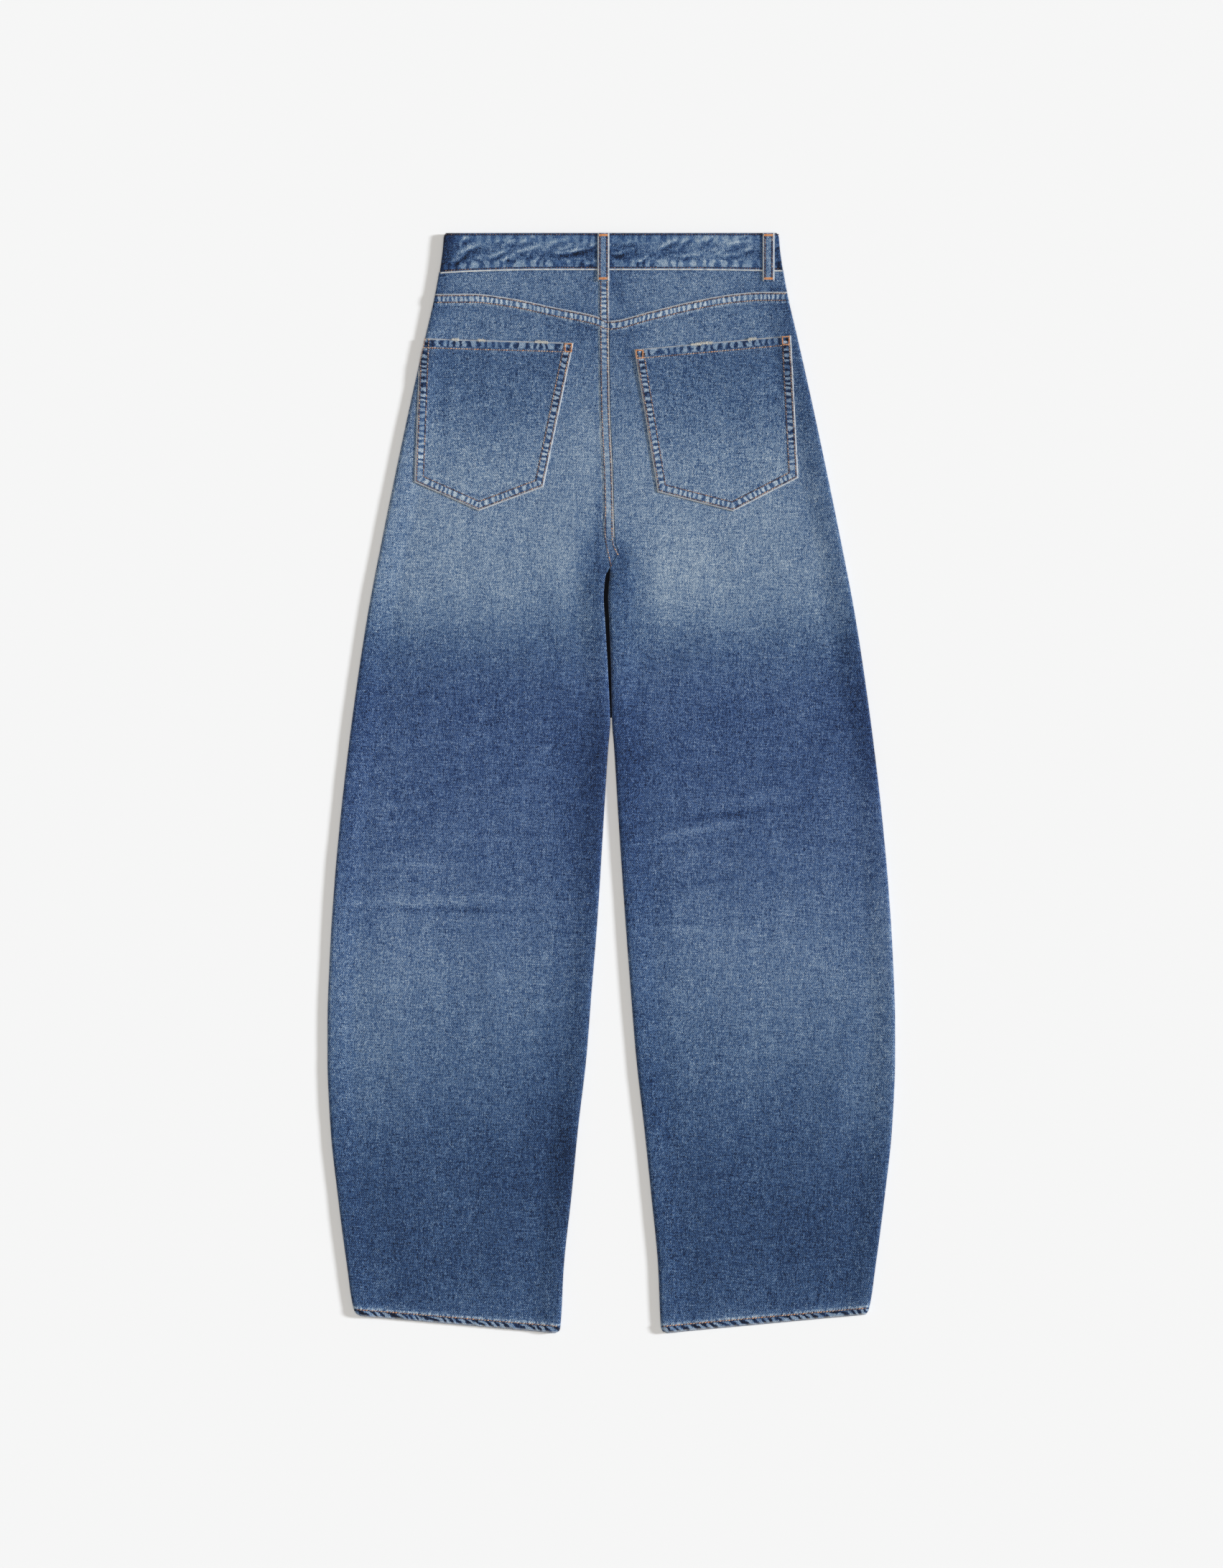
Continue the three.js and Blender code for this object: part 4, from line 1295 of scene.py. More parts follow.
@dataclass
class Yoke:
    """A yoke: from under the waistband to under the felled seam, and round the outer fold."""

    side: int
    step: float = 1.3
    rows: tuple[float, ...] = (1.8, CENTRE_ROW)

    def relief(self, x: Array, down: Array) -> Array:
        """Height over the middle surface: half the cloth, the centre band, its grooves and waves.

        Args:
            x: Places across.
            down: Places down.

        Returns:
            Heights in millimetres.
        """
        height = CLOTH / 2 + unevenness(x, down) * 0.8
        if self.side > 0:
            return height
        beside = np.abs(LAY.inner(-1, down) - x)
        return height + FELL_RAISE * felled(beside) - GROOVE_DEEP * grooves(GROOVE_WIDE, (beside, self.rows))

    def surface(self) -> Surface:
        """The yoke's grid, with its ends under the waistband and the felled seam.

        Returns:
            The surface.
        """
        side = self.side
        part = np.linspace(0.0, 1.0, 44)[:, None]
        outer_down = LAY.yoke_row(side, part, np.zeros_like(part))
        inner_down = LAY.yoke_row(side, part, np.ones_like(part))
        radius = LAY.radius(outer_down)
        quarter = math.pi / 2 * radius
        arcs = np.hstack([-quarter - SIDE_LIP[side] * np.array([[1.0, 0.6, 0.3]]), radius * HALF_TURN])
        x_fold, z_fold, nx_fold, nz_fold = LAY.over_fold(side, outer_down, arcs)
        start = LAY.over_fold(side, outer_down, quarter + 1.0)[0]
        end = LAY.inner(side, inner_down) - (1.4 if side > 0 else 0.0)
        shares = np.concatenate([np.arange(0.0, 0.93, self.step / 170.0), np.linspace(0.93, 1.0, 18)])
        x_flat = mixed(start, end, shares[None, :])
        outer = LAY.outer(side, outer_down)
        width = np.abs(LAY.inner(side, inner_down) - outer)
        down_flat = LAY.yoke_row(side, part, np.minimum(1.0, np.abs(x_flat - outer) / width))
        x = np.hstack([x_fold, x_flat])
        down = np.hstack([np.broadcast_to(outer_down, x_fold.shape), down_flat])
        z = np.hstack([z_fold, LAY.high(side, x_flat, down_flat)])
        nx, nz = np.hstack([nx_fold, x_flat * 0]), np.hstack([nz_fold, x_flat * 0 + 1])
        lift = mixed(CLOTH / 2, self.relief(x, down), np.clip(nz, 0, 1) ** 2)
        under = nz < -0.5
        beside = np.abs(LAY.inner(side, down) - x) if side < 0 else np.full_like(x, FAR)
        # painted light and shade of small creases beside the centre seam, and painted shade along the yoke seam
        # and under the waistband
        crease = 0.05 * FINE(x, down - 0.4 * np.abs(x), 12.0, 5.0) * bell(x + 2.0, 26.0)
        seam_shade_mask = between(5.0, 1.5, YOKE_SEAM(x) - down)
        waist_shade_mask = between(4.0, 1.0, down - LAY.waist_seam(x))
        wash_and_shade = three(WASH_AND_SHADE.at(x, down), crease - 0.05 * seam_shade_mask - 0.04 * waist_shade_mask, 0.0)
        fell = three(down, np.where(under, FAR, beside), 0.0)
        cloth = Surface(x, down, z, nx, nz, lift, {"wash_and_shade": wash_and_shade, "fell": fell})
        return cloth.turned(Edge.END, [(0.15, 0.4), (0.2, 1.1)]) if side < 0 else cloth

    def sewing(self) -> Sewing:
        """Twin rows of the centre seam on the left yoke, from the loop to the yoke seam.

        Returns:
            The stitches.
        """
        sewing = Sewing("stitches_yoke", 51)
        for row in self.rows:
            down = np.linspace(46.0, 85.6 - 0.1 * row, 60)
            x = LAY.inner(-1, down) - row
            z = LAY.high(-1, x, down) + self.relief(x, down) + THREAD_RISE
            sewing.row(place_on(x, down, z), tone=0.5)
        return sewing


@dataclass(frozen=True)
class Crease:
    """A crease of the waistband: from one place to another, its width and strength."""

    x: float
    down: float
    to_x: float
    to_down: float
    wide: float
    rise: float


# light creases of the waistband's back: from x, down, to x, down, width, strength
CREASES = tuple(Crease(*row) for row in (
    (-157, 28, -141, 19, 1.6, 0.9), (-150, 21, -128, 11, 1.9, 0.9), (-148, 12, -140, 4, 1.8, 0.7),
    (-120, 23, -98, 14, 1.6, 0.9), (-106, 13, -92, 7, 1.8, 0.7), (-108, 27, -101, 23, 1.6, 0.8),
    (-92, 17, -70, 12, 1.6, 0.6), (-85, 22, -79, 18, 1.5, 0.8), (-76, 28, -71, 23, 1.6, 0.8),
    (-58, 20, -22, 13.5, 1.5, 1.0), (-28, 29, -15, 27, 1.4, 0.7), (-22, 13, -15, 9, 1.5, 0.8),
    (-62, 12, -44, 6, 2.0, 0.5), (1, 20, 14, 17, 1.5, 0.8), (22, 28, 36, 22, 1.5, 1.0),
    (36, 29, 42, 25, 1.6, 0.7), (46, 15, 66, 6, 2.0, 0.8), (66, 13, 76, 5, 1.8, 0.7),
    (58, 22, 88, 19, 1.6, 0.6), (84, 10, 100, 6, 2.0, 0.6), (102, 22, 128, 19, 1.5, 0.6),
    (112, 12, 134, 8, 1.9, 0.7), (128, 17, 137, 13, 1.5, 0.8), (8, 11, 26, 8, 1.9, 0.5),
))
# painted shade in hollows of the waistband, and a few lighter stretches
HOLLOWS = spots(
    (-160, 18, 9, 30, -26), (-130, 22, 26, 5, -20, -14), (-66, 23, 30, 4, -16, -10),
    (-28, 21, 20, 5, -20, -10), (-18, 30, 14, 12, -12), (14, 22, 22, 5, -24),
    (60, 21, 30, 4, -16, -6), (124, 20, 16, 5, -16),
    (166, 18, 7, 30, -42), (4, 12, 9, 14, -12), (112, 9, 44, 10, 20), (80, 30, 60, 6, 18),
    (-90, 31, 50, 5, 9), (-60, 10, 60, 8, 8), (146, 18, 6, 26, -14),
)


@dataclass
class Waistband:
    """The waistband: one doubled strip from the centre front round both folds and over the back."""

    step: float = 1.3
    small: int = 46
    top_row: float = 1.6
    foot_row: float = 2.5

    def strokes(self) -> tuple[Crease, ...]:
        """The listed creases, and small seeded ones between them that run the same way."""
        draw = np.random.default_rng(77)
        # x, down, length, rise for its length, width and strength
        ranges = ((-158, 160), (4, 31), (5, 14), (0.2, 0.55), (1.0, 1.7), (0.25, 0.6))
        rows = zip(*(draw.uniform(low, high, self.small) for low, high in ranges))
        return CREASES + tuple(
            Crease(x, down, x + long, down - long * rise, wide, strength)
            for x, down, long, rise, wide, strength in rows
        )

    def crumple(self, x: Array, down: Array) -> Array:
        """Sum over the creases of a light ridge with a darker hollow below it, faded at both ends.

        Args:
            x: Places across.
            down: Places down.

        Returns:
            Strength, about -1 to 1.
        """
        total = np.zeros_like(x)
        for crease in self.strokes():
            run = np.array([crease.to_x - crease.x, crease.to_down - crease.down])
            long = float(np.hypot(*run))
            ux, ud = run / long
            along = ((x - crease.x) * ux + (down - crease.down) * ud) / long
            bend = 1.2 * np.sin(math.pi * np.clip(along, 0, 1)) * (1 if crease.wide > 1.6 else -1)
            across = (down - crease.down) * ux - (x - crease.x) * ud + bend
            ends = between(-0.15, 0.25, along) * between(1.15, 0.75, along)
            ridge = np.exp(-((across / crease.wide) ** 2))
            hollow = np.exp(-(((across - 2.2 * crease.wide) / (1.5 * crease.wide)) ** 2))
            total += crease.rise * ends * (ridge - 0.75 * hollow)
        return np.clip(total, -1.6, 1.6)

    def grid(self) -> tuple[Array, ...]:
        """Columns round the ring: from the centre front under the left half, over the back, under the right.

        Returns:
            x, height, the outward direction's two parts and distance down, by row and column.
        """
        v = np.concatenate([np.linspace(0.03, 0.14, 6), np.linspace(0.17, 0.82, 20), np.linspace(0.85, 1.0, 9)])
        v = v[:, None]
        corner = 4.0 - np.sqrt(16.0 - np.clip(4.0 - v * WAISTBAND_DEPTH, 0.0, 4.0) ** 2)
        ends, pieces = {}, []
        for side in SIDE_NAME:
            outer = LAY.outer(side, v * WAISTBAND_DEPTH)
            ends[side] = outer - side * (BAND_CLOTH / 2 + WAIST_RADIUS + corner)
            lower = v * LAY.waist_seam(LAY.outer(side, WAISTBAND_DEPTH))
            x_under = mixed(ends[side], FRONT_CENTRE + side * 0.3, np.linspace(1.0, 0.0, 60)[None, :])
            under = np.broadcast_arrays(x_under, WAIST_LOW, 0.0, -1.0, lower + LAY.front_dip(x_under))
            across, rise = np.cos(HALF_TURN), np.sin(HALF_TURN)
            x_fold = ends[side] + side * WAIST_RADIUS * across
            z_fold = WAIST_LOW + WAIST_RADIUS * (1 + rise)
            turn = np.broadcast_arrays(x_fold, z_fold, side * across, rise, lower)
            both = [np.hstack(pair) for pair in zip(under, turn)]
            pieces.append(both if side < 0 else [values[:, ::-1] for values in both])
        count = int(320 / self.step)
        x_over = mixed(ends[-1], ends[1], (np.arange(1, count) / count)[None, :])
        over = np.broadcast_arrays(x_over, WAIST_HIGH, 0.0, 1.0, v * LAY.waist_seam(x_over))
        return tuple(np.hstack(row) for row in zip(pieces[0], over, pieces[1]))

    def relief(self, x: Array, down: Array, to_foot: Array) -> Array:
        """Height over the middle surface: half the doubled cloth, creases, notches, grooves and waves.

        Args:
            x: Places across.
            down: Places down.
            to_foot: Distance to the lower edge.

        Returns:
            Heights in millimetres.
        """
        height = BAND_CLOTH / 2 + 0.32 * self.crumple(x, down) + 0.8 * unevenness(x, down * 1.6)
        notch = wave(x, FOOT.pitch, 3.0, 20.0)
        height = height + 0.16 * notch * (between(11.0, 6.0, to_foot) + between(10.0, 5.0, down))
        return height - 0.3 * grooves(0.8, (to_foot, (self.foot_row,)), (down, (self.top_row,)))

    def front_depth(self) -> float:
        """Depth of the band where it comes round the left fold to the front."""
        return LAY.waist_seam(LAY.outer(-1, WAISTBAND_DEPTH))

    def surface(self) -> Surface:
        """The ring's grid with both edges rolled over.

        Returns:
            The surface.
        """
        x, z, nx, nz, down = self.grid()
        under = nz < -0.2
        own = np.where(under, down - LAY.front_dip(x), down)
        to_foot = np.where(under, self.front_depth(), LAY.waist_seam(x)) - own
        lift = mixed(BAND_CLOTH / 2, self.relief(x, own, to_foot), np.clip(nz, 0, 1) ** 2)
        # the creases are worn pale on their ridges, with painted shade in the hollows below them
        crease_wear_and_shade = 0.29 * self.crumple(x, own) + 1.4 * sum(hollow.at(x, own) for hollow in HOLLOWS) / 255.0
        away = np.where(under, FAR, 0.0)
        paint = {
            "wash_and_shade": three(WASH_AND_SHADE.at(x, own), np.where(under, 0.0, crease_wear_and_shade), 0.0),
            "foot": three(x, to_foot + away, 0.0),
            "crown": three(x + 3.0, own + away, 0.0),
        }
        cloth = Surface(x, down, z, nx, nz, lift, paint)
        rolled = [(-0.6, 0.15), (-0.95, 0.55), (-1.05, 1.1), (-0.8, 1.7), (1.0, 2.0), (10.0, 2.0)]
        cloth = cloth.turned(Edge.TOP, rolled)
        return cloth.turned(Edge.FOOT, [(0.1, 0.35), (0.15, 0.9), (0.0, 1.5), (-3.0, 1.9)])

    def sewing(self) -> Sewing:
        """Rows near the top and the foot, over the back and along the front.

        Returns:
            The stitches.
        """
        sewing = Sewing("stitches_waistband", 60)
        back, front = np.linspace(-162.5, 162.5, 500), np.linspace(-158.0, 158.0, 400)
        foot = LAY.waist_seam(back)
        for down, front_down, tone in (
            (np.full_like(back, self.top_row), self.top_row, 0.0),
            (foot - self.foot_row, self.front_depth() - self.foot_row, 0.12),
        ):
            z = WAIST_HIGH + self.relief(back, down, foot - down) + 0.1
            sewing.row(place_on(back, down, z), tone=tone, spread=0.22, pitch=2.7, long=2.0)
            below = place_on(front, front_down + LAY.front_dip(front), WAIST_LOW - BAND_CLOTH / 2 - 0.1)
            sewing.row(below, tone=0.4, up=DOWNWARD)
        return sewing


POCKET_CORNERS = {
    -1: (((-186.5, 102.6), (-36.7, 106.9)), ((-192.0, 242.9), (-129.0, 270.9), (-66.0, 247.5))),
    1: (((22.2, 113.4), (175.1, 99.8)), ((45.0, 252.5), (118.6, 271.3), (182.3, 238.7))),
}

# stretches of the mouths that are worn to loose threads, as places across
FRAYS = {-1: ((-155.0, -149.0), (-130.0, -123.0), (-74.0, -62.0)), 1: ((78.0, 98.0), (133.0, 141.0))}


@dataclass
class Pocket:
    """A five-cornered back pocket on the points of the panel under it."""

    side: int
    stand: float = 1.35
    shows_to: float = 183.0

    def __post_init__(self) -> None:
        """Keeps the corners by name."""
        (self.top_left, self.top_right), self.lower = POCKET_CORNERS[self.side]
        first, tip, last = self.lower
        self.tip_share = (tip[0] - first[0]) / (last[0] - first[0])

    def mouth_line(self, u: Array) -> Array:
        """Distance down of the mouth by share across: straight between the top corners."""
        return mixed(self.top_left[1], self.top_right[1], u)

    def share_of(self, x: Array) -> Array:
        """Share of the way along the mouth of each place across."""
        return (x - self.top_left[0]) / (self.top_right[0] - self.top_left[0])

    def low_edge(self, u: Array) -> Array:
        """Distance down of the lower edge: straight from each lower corner to the tip."""
        first, tip, last = self.lower
        left = mixed(first[1], tip[1], u / self.tip_share)
        right = mixed(tip[1], last[1], (u - self.tip_share) / (1 - self.tip_share))
        return np.where(u < self.tip_share, left, right)

    def flat(self, u: Array, v: Array) -> tuple[Array, Array]:
        """Place on the laid-out cloth by its shares across and down.

        Args:
            u: Share across.
            v: Share down.

        Returns:
            x and distance down.
        """
        ends = []
        for share, top, low in ((0.0, self.top_left, self.lower[0]), (1.0, self.top_right, self.lower[2])):
            down = mixed(self.mouth_line(share), low[1], v)
            limit = OUTLINE(down) - 1.4
            ends.append(np.clip(mixed(top[0], low[0], v), -limit, limit))
        down = mixed(self.mouth_line(u), self.low_edge(u), v)
        return mixed(ends[0], ends[1], u), down

    def rim_distance(self, x: Array, down: Array) -> tuple[Array, Array, Array]:
        """Distances from the sides and lower edges, from the mouth, and the place along the nearest edge.

        Args:
            x: Places across.
            down: Places down.

        Returns:
            The rim's distance, the place along it and the mouth's distance.
        """
        first, tip, last = self.lower
        lines = ((self.top_left, first), (first, tip), (tip, last), (last, self.top_right))
        best, along = np.full(np.shape(x), FAR), np.zeros(np.shape(x))
        for start, end in lines:
            run = np.subtract(end, start)
            long = np.hypot(*run)
            right, below = x - start[0], down - start[1]
            inward = (right * run[1] - below * run[0]) / long
            along = np.where(inward < best, (right * run[0] + below * run[1]) / long, along)
            best = np.minimum(best, inward)
        return best, along, down - self.mouth_line(self.share_of(x))

    def relief(self, x: Array, down: Array) -> Array:
        """Height of the pocket's face over the panel: its stand, rim and mouth bands, grooves and waves.

        Args:
            x: Places across on the laid-out cloth.
            down: Places down.

        Returns:
            Heights in millimetres.
        """
        rim, along, mouth = self.rim_distance(x, down)
        height = self.stand + unevenness(x * 1.1 + 40, down) - unevenness(x, down) * 0.4
        height = height + 0.28 * np.maximum(between(10.0, 8.2, rim), between(10.2, 8.6, mouth))
        height = height - 0.22 * grooves(GROOVE_WIDE, (rim, RIM.rows), (mouth, MOUTH.rows))
        height = height + 0.12 * wave(along, RIM.pitch, 3.0, 12.0, self.side * 50.0) * bell(rim - 5.3, 2.2)
        sag = 0.35 * between(0.0, 14.0, mouth) * bell(mouth - 20.0, 26.0)
        pressed = 1.0 - 0.6 * between(12.0, 3.0, np.abs(LAY.outer(self.side, down) - x))
        return (height + sag) * pressed

    def over(self, x: Array, down: Array, stand: Array) -> tuple[Array, Array, Array]:
        """Place in space over the laid-out panel, round its outer fold where the cloth reaches it.

        Args:
            x: Places across on the laid-out cloth.
            down: Places down.
            stand: Height over the panel's middle surface.

        Returns:
            x, distance down and height.
        """
        radius = LAY.radius(down)
        edge = LAY.outer(self.side, down) - self.side * (CLOTH / 2 + radius)
        arc = self.side * (edge - x) + math.pi / 2 * radius
        px, pz, nx, nz = LAY.over_fold(self.side, down, arc)
        return px + nx * stand, down, pz + nz * stand

    def surface(self) -> Surface:
        """The pocket's grid with its edges rolled down to the panel.

        Returns:
            The surface.
        """
        near = np.array([0.0, 0.004, 0.009, 0.015, 0.022, 0.03])
        far = 1 - near[::-1]
        u, v = np.meshgrid(*(np.concatenate([near, np.linspace(0.038, 0.962, n), far]) for n in (118, 122)))
        x, down = self.flat(u, v)
        rim, along, mouth = self.rim_distance(x, down)
        edge = np.minimum(rim, mouth)
        roll = 1.0 - np.sqrt(1.0 - (1.0 - np.clip(edge / 0.9, 0, 1)) ** 2)
        stand = CLOTH / 2 + self.relief(x, down) * (1 - 0.86 * roll)
        px, pd, pz = self.over(x, down, stand)
        # in steps of an 8-bit picture: darker than the panel at the mouth, a little lighter at the foot
        lighter = -13.0 + 15.0 * between(0.15, 0.95, v) - 7.0 * between(0.35, 0.0, v)
        # painted shade just inside the stitched rim, a little lighter beyond it
        seam_shade = -0.03 * bell(rim - 11.5, 2.5) + 0.02 * bell(rim - 15.5, 3.0)
        paint = {
            "wash_and_shade": three(WASH_AND_SHADE.at(px, pd) + lighter / 255.0, seam_shade, 0.0),
            "rim": three(along, rim, 0.2 * between(0.85, 0.97, v)),
            "mouth": three(x, mouth, 0.0),
        }
        return Surface(px, pd, pz, 0.0, 1.0, 0.0, paint)

    def path(self, points: Sequence[tuple[float, float]], above: float = THREAD_RISE) -> Array:
        """A path on the pocket's face through corners on the laid-out cloth.

        Args:
            points: Corners of the path.
            above: Height of the thread's middle over the face.

        Returns:
            Points in millimetres, one a row.
        """
        corners = np.array(points, float)
        reach = walked(corners)
        walk = np.linspace(0, reach[-1], int(reach[-1] / 0.8) + 2)
        x, down = (np.interp(walk, reach, column) for column in corners.T)
        limit = OUTLINE(down) - 1.2
        x = np.clip(x, -limit, limit)
        return place_on(*self.over(x, down, CLOTH / 2 + self.relief(x, down) + above))

    def inset(self, distance: float) -> list[tuple[float, float]]:
        """The outline from the left top corner round to the right one, moved in by a distance.

        Args:
            distance: How far in.

        Returns:
            Five corners.
        """
        ring = np.array([self.top_left, *self.lower, self.top_right])
        mouth = (ring[0], ring[-1] - ring[0])
        walls = [mouth]
        for start, run in zip(ring[:-1], np.diff(ring, axis=0)):
            inward = np.array([run[1], -run[0]]) / np.hypot(*run)
            walls.append((start + inward * distance, run))
        walls.append(mouth)
        corners = []
        for (p, r), (q, s) in zip(walls[:-1], walls[1:]):
            share = ((q - p)[0] * s[1] - (q - p)[1] * s[0]) / (r[0] * s[1] - r[1] * s[0])
            corners.append(tuple(p + r * share))
        return corners

    def sewing(self) -> Sewing:
        """Twin rows round the sides and lower edges, the mouth's row and the corner tacks.

        Returns:
            The stitches.
        """
        sewing = Sewing(f"stitches_pocket_{SIDE_NAME[self.side]}", 70 + self.side)
        for distance in RIM.rows:
            sewing.row(self.path(self.inset(distance)), tone=0.4, spread=0.36)
        drop = MOUTH.rows[0]
        left, *_, right = self.inset(1.6)
        sewing.row(self.path([(left[0] + 0.4, left[1] + drop), (right[0] - 0.4, right[1] + drop)]), tone=0.56)
        tack = ((0.0, 1.0), (6.6, 1.3), (6.4, 8.6), (0.3, 8.8), (0.0, 1.0))
        left, *_, right = self.inset(1.9)
        for (x, down), turn in ((left, 1.0), (right, -1.0)):
            if abs(x) > self.shows_to:
                continue
            box = [(x + turn * across, down + below) for across, below in tack]
            for above in (0.2, 0.5):
                path = self.path(box, above)
                sewing.row(path, tone=0.95, spread=0.1, pitch=0.95, long=1.5, thick=0.7, yaw=1.0)
        return sewing

    def fraying(self) -> Sewing:
        """Loose cream threads lying over the worn stretches of the mouth, each turned at random.

        Returns:
            The loose threads.
        """
        sewing = Sewing(f"frayed_mouth_{SIDE_NAME[self.side]}", 80 + self.side)
        draw = sewing.draw
        for start, end in FRAYS[self.side]:
            count = int((end - start) * 9.0)
            x = draw.uniform(start, end, count)
            down = self.mouth_line(self.share_of(x)) + draw.normal(0.35, 0.6, count)
            stand = CLOTH / 2 + self.relief(x, down + 0.8) + draw.uniform(0.0, 0.35, count)
            angle = draw.normal(0.15, 0.75, count)
            tangent = unit(three(np.cos(angle), np.sin(angle), draw.uniform(-0.1, 0.15, count)))
            side = unit(np.cross(UPWARD, tangent))
            centre, normal = place_on(*self.over(x, down, stand)), np.cross(tangent, side)
            sewing.bars(centre, tangent, side, normal, long=2.2, thick=0.34, tone=0.6, spread=0.4)
        return sewing


@dataclass
class BeltLoop:
    """A belt loop: a doubled strip with turned ends, on the waistband's face."""

    name: str
    centre: float
    under: bool = False
    wide: float = 11.6
    long: float = 47.0
    thick: float = 1.2
    row: float = 2.4
    top: float = 0.1

    def down_at(self, x: Array, own: Array) -> Array:
        """How far down a place is: its own distance, and on the front the waist's dip with it."""
        return own + (LAY.front_dip(x) if self.under else 0.0)

    def base(self, down: Array) -> Array:
        """Height that the strip lies on: the waistband, then toward the yoke, or the front's underside."""
        if self.under:
            return np.full_like(down, WAIST_LOW - BAND_CLOTH / 2 - 0.25)
        band = WAIST_HIGH + BAND_CLOTH / 2 + 0.35
        yoke = LAY.high(-1 if self.centre < 0 else 1, np.full_like(down, self.centre), down) + CLOTH / 2
        raised = 0.95 if abs(self.centre) < 20 else 0.15
        return mixed(band, yoke + raised, between(37.0, 45.0, down))

    def face(self, across: Array, past: Array) -> Array:
        """Thickness of the strip: rounded sides, thicker turned ends, grooves at the stitches.

        Args:
            across: Distance from the middle line.
            past: Distance from the top end.

        Returns:
            Heights over what it lies on.
        """
        side = self.wide / 2 - np.abs(across)
        rounded = np.sqrt(1 - (1 - np.clip(side / 1.0, 0, 1)) ** 2)
        ends = np.minimum(past, self.long - past)
        tip = np.sqrt(1 - (1 - np.clip(ends / 0.9, 0, 1)) ** 2)
        height = self.thick + 0.35 * between(5.2, 3.8, ends) + 0.12 * np.cos(across / self.wide * math.pi)
        height = height - 0.22 * bell(side - self.row, 0.7) - 0.3 * bell(ends - 2.2, 1.1)
        return height * rounded * tip + 0.08 * FINE(across + self.centre, past, 3.0, 4.0) * rounded

    def surface(self) -> Surface:
        """The strip's grid.

        Returns:
            The surface.
        """
        u = np.concatenate([np.linspace(0, 0.09, 6), np.linspace(0.13, 0.87, 17), np.linspace(0.91, 1.0, 6)])
        v = np.concatenate([np.linspace(0, 0.025, 6), np.linspace(0.04, 0.96, 64), np.linspace(0.975, 1.0, 6)])
        across, past = np.meshgrid((u - 0.5) * self.wide, v * self.long)
        x, own = self.centre + across, past + self.top
        side = self.wide / 2 - np.abs(across)
        # painted shade in the stitch rows' grooves, and darker toward the top end
        light = 0.50 - 0.09 * bell(side - self.row, 1.3) - 0.05 * between(6.0, 1.0, own)
        paint = {"wash_and_shade": three(light, 0.03 * FINE(x * 3, past, 6.0), 0.0), "edge": three(past, side, 0.0)}
        outward = -1.0 if self.under else 1.0
        return Surface(x, self.down_at(x, own), self.base(own), 0.0, outward, self.face(across, past), paint)

    def sewing(self) -> Sewing:
        """The rows along both sides and the tacks at both ends.

        Returns:
            The stitches.
        """
        sewing = Sewing(f"stitches_{self.name}", 300 + int(self.centre))
        up = DOWNWARD if self.under else UPWARD
        past = np.linspace(2.8, self.long - 3.4, 60)
        for across in (self.row - self.wide / 2, self.wide / 2 - self.row):
            own = past + self.top
            z = self.base(own) + up[2] * (self.face(np.full_like(past, across), past) + THREAD_RISE)
            x = self.centre + across
            sewing.row(place_on(x, self.down_at(x, own), z), tone=0.24, spread=0.24, up=up, yaw=0.2)
        tack = {"spread": 0.06, "pitch": 0.62, "long": 1.7, "thick": 0.66, "yaw": 1.25, "up": up}
        x = np.linspace(self.centre - 4.4, self.centre + 4.4, 30)
        for end, tone in ((2.2, 0.92), (self.long - 2.6, 0.94)):
            at = np.full_like(x, end)
            for shift, height in ((-0.55, 0.2), (0.55, 0.25)):
                z = self.base(at) + up[2] * (self.face(x - self.centre, at) + height)
                sewing.row(place_on(x, self.down_at(x, at + shift), z), tone=tone, **tack)
        return sewing


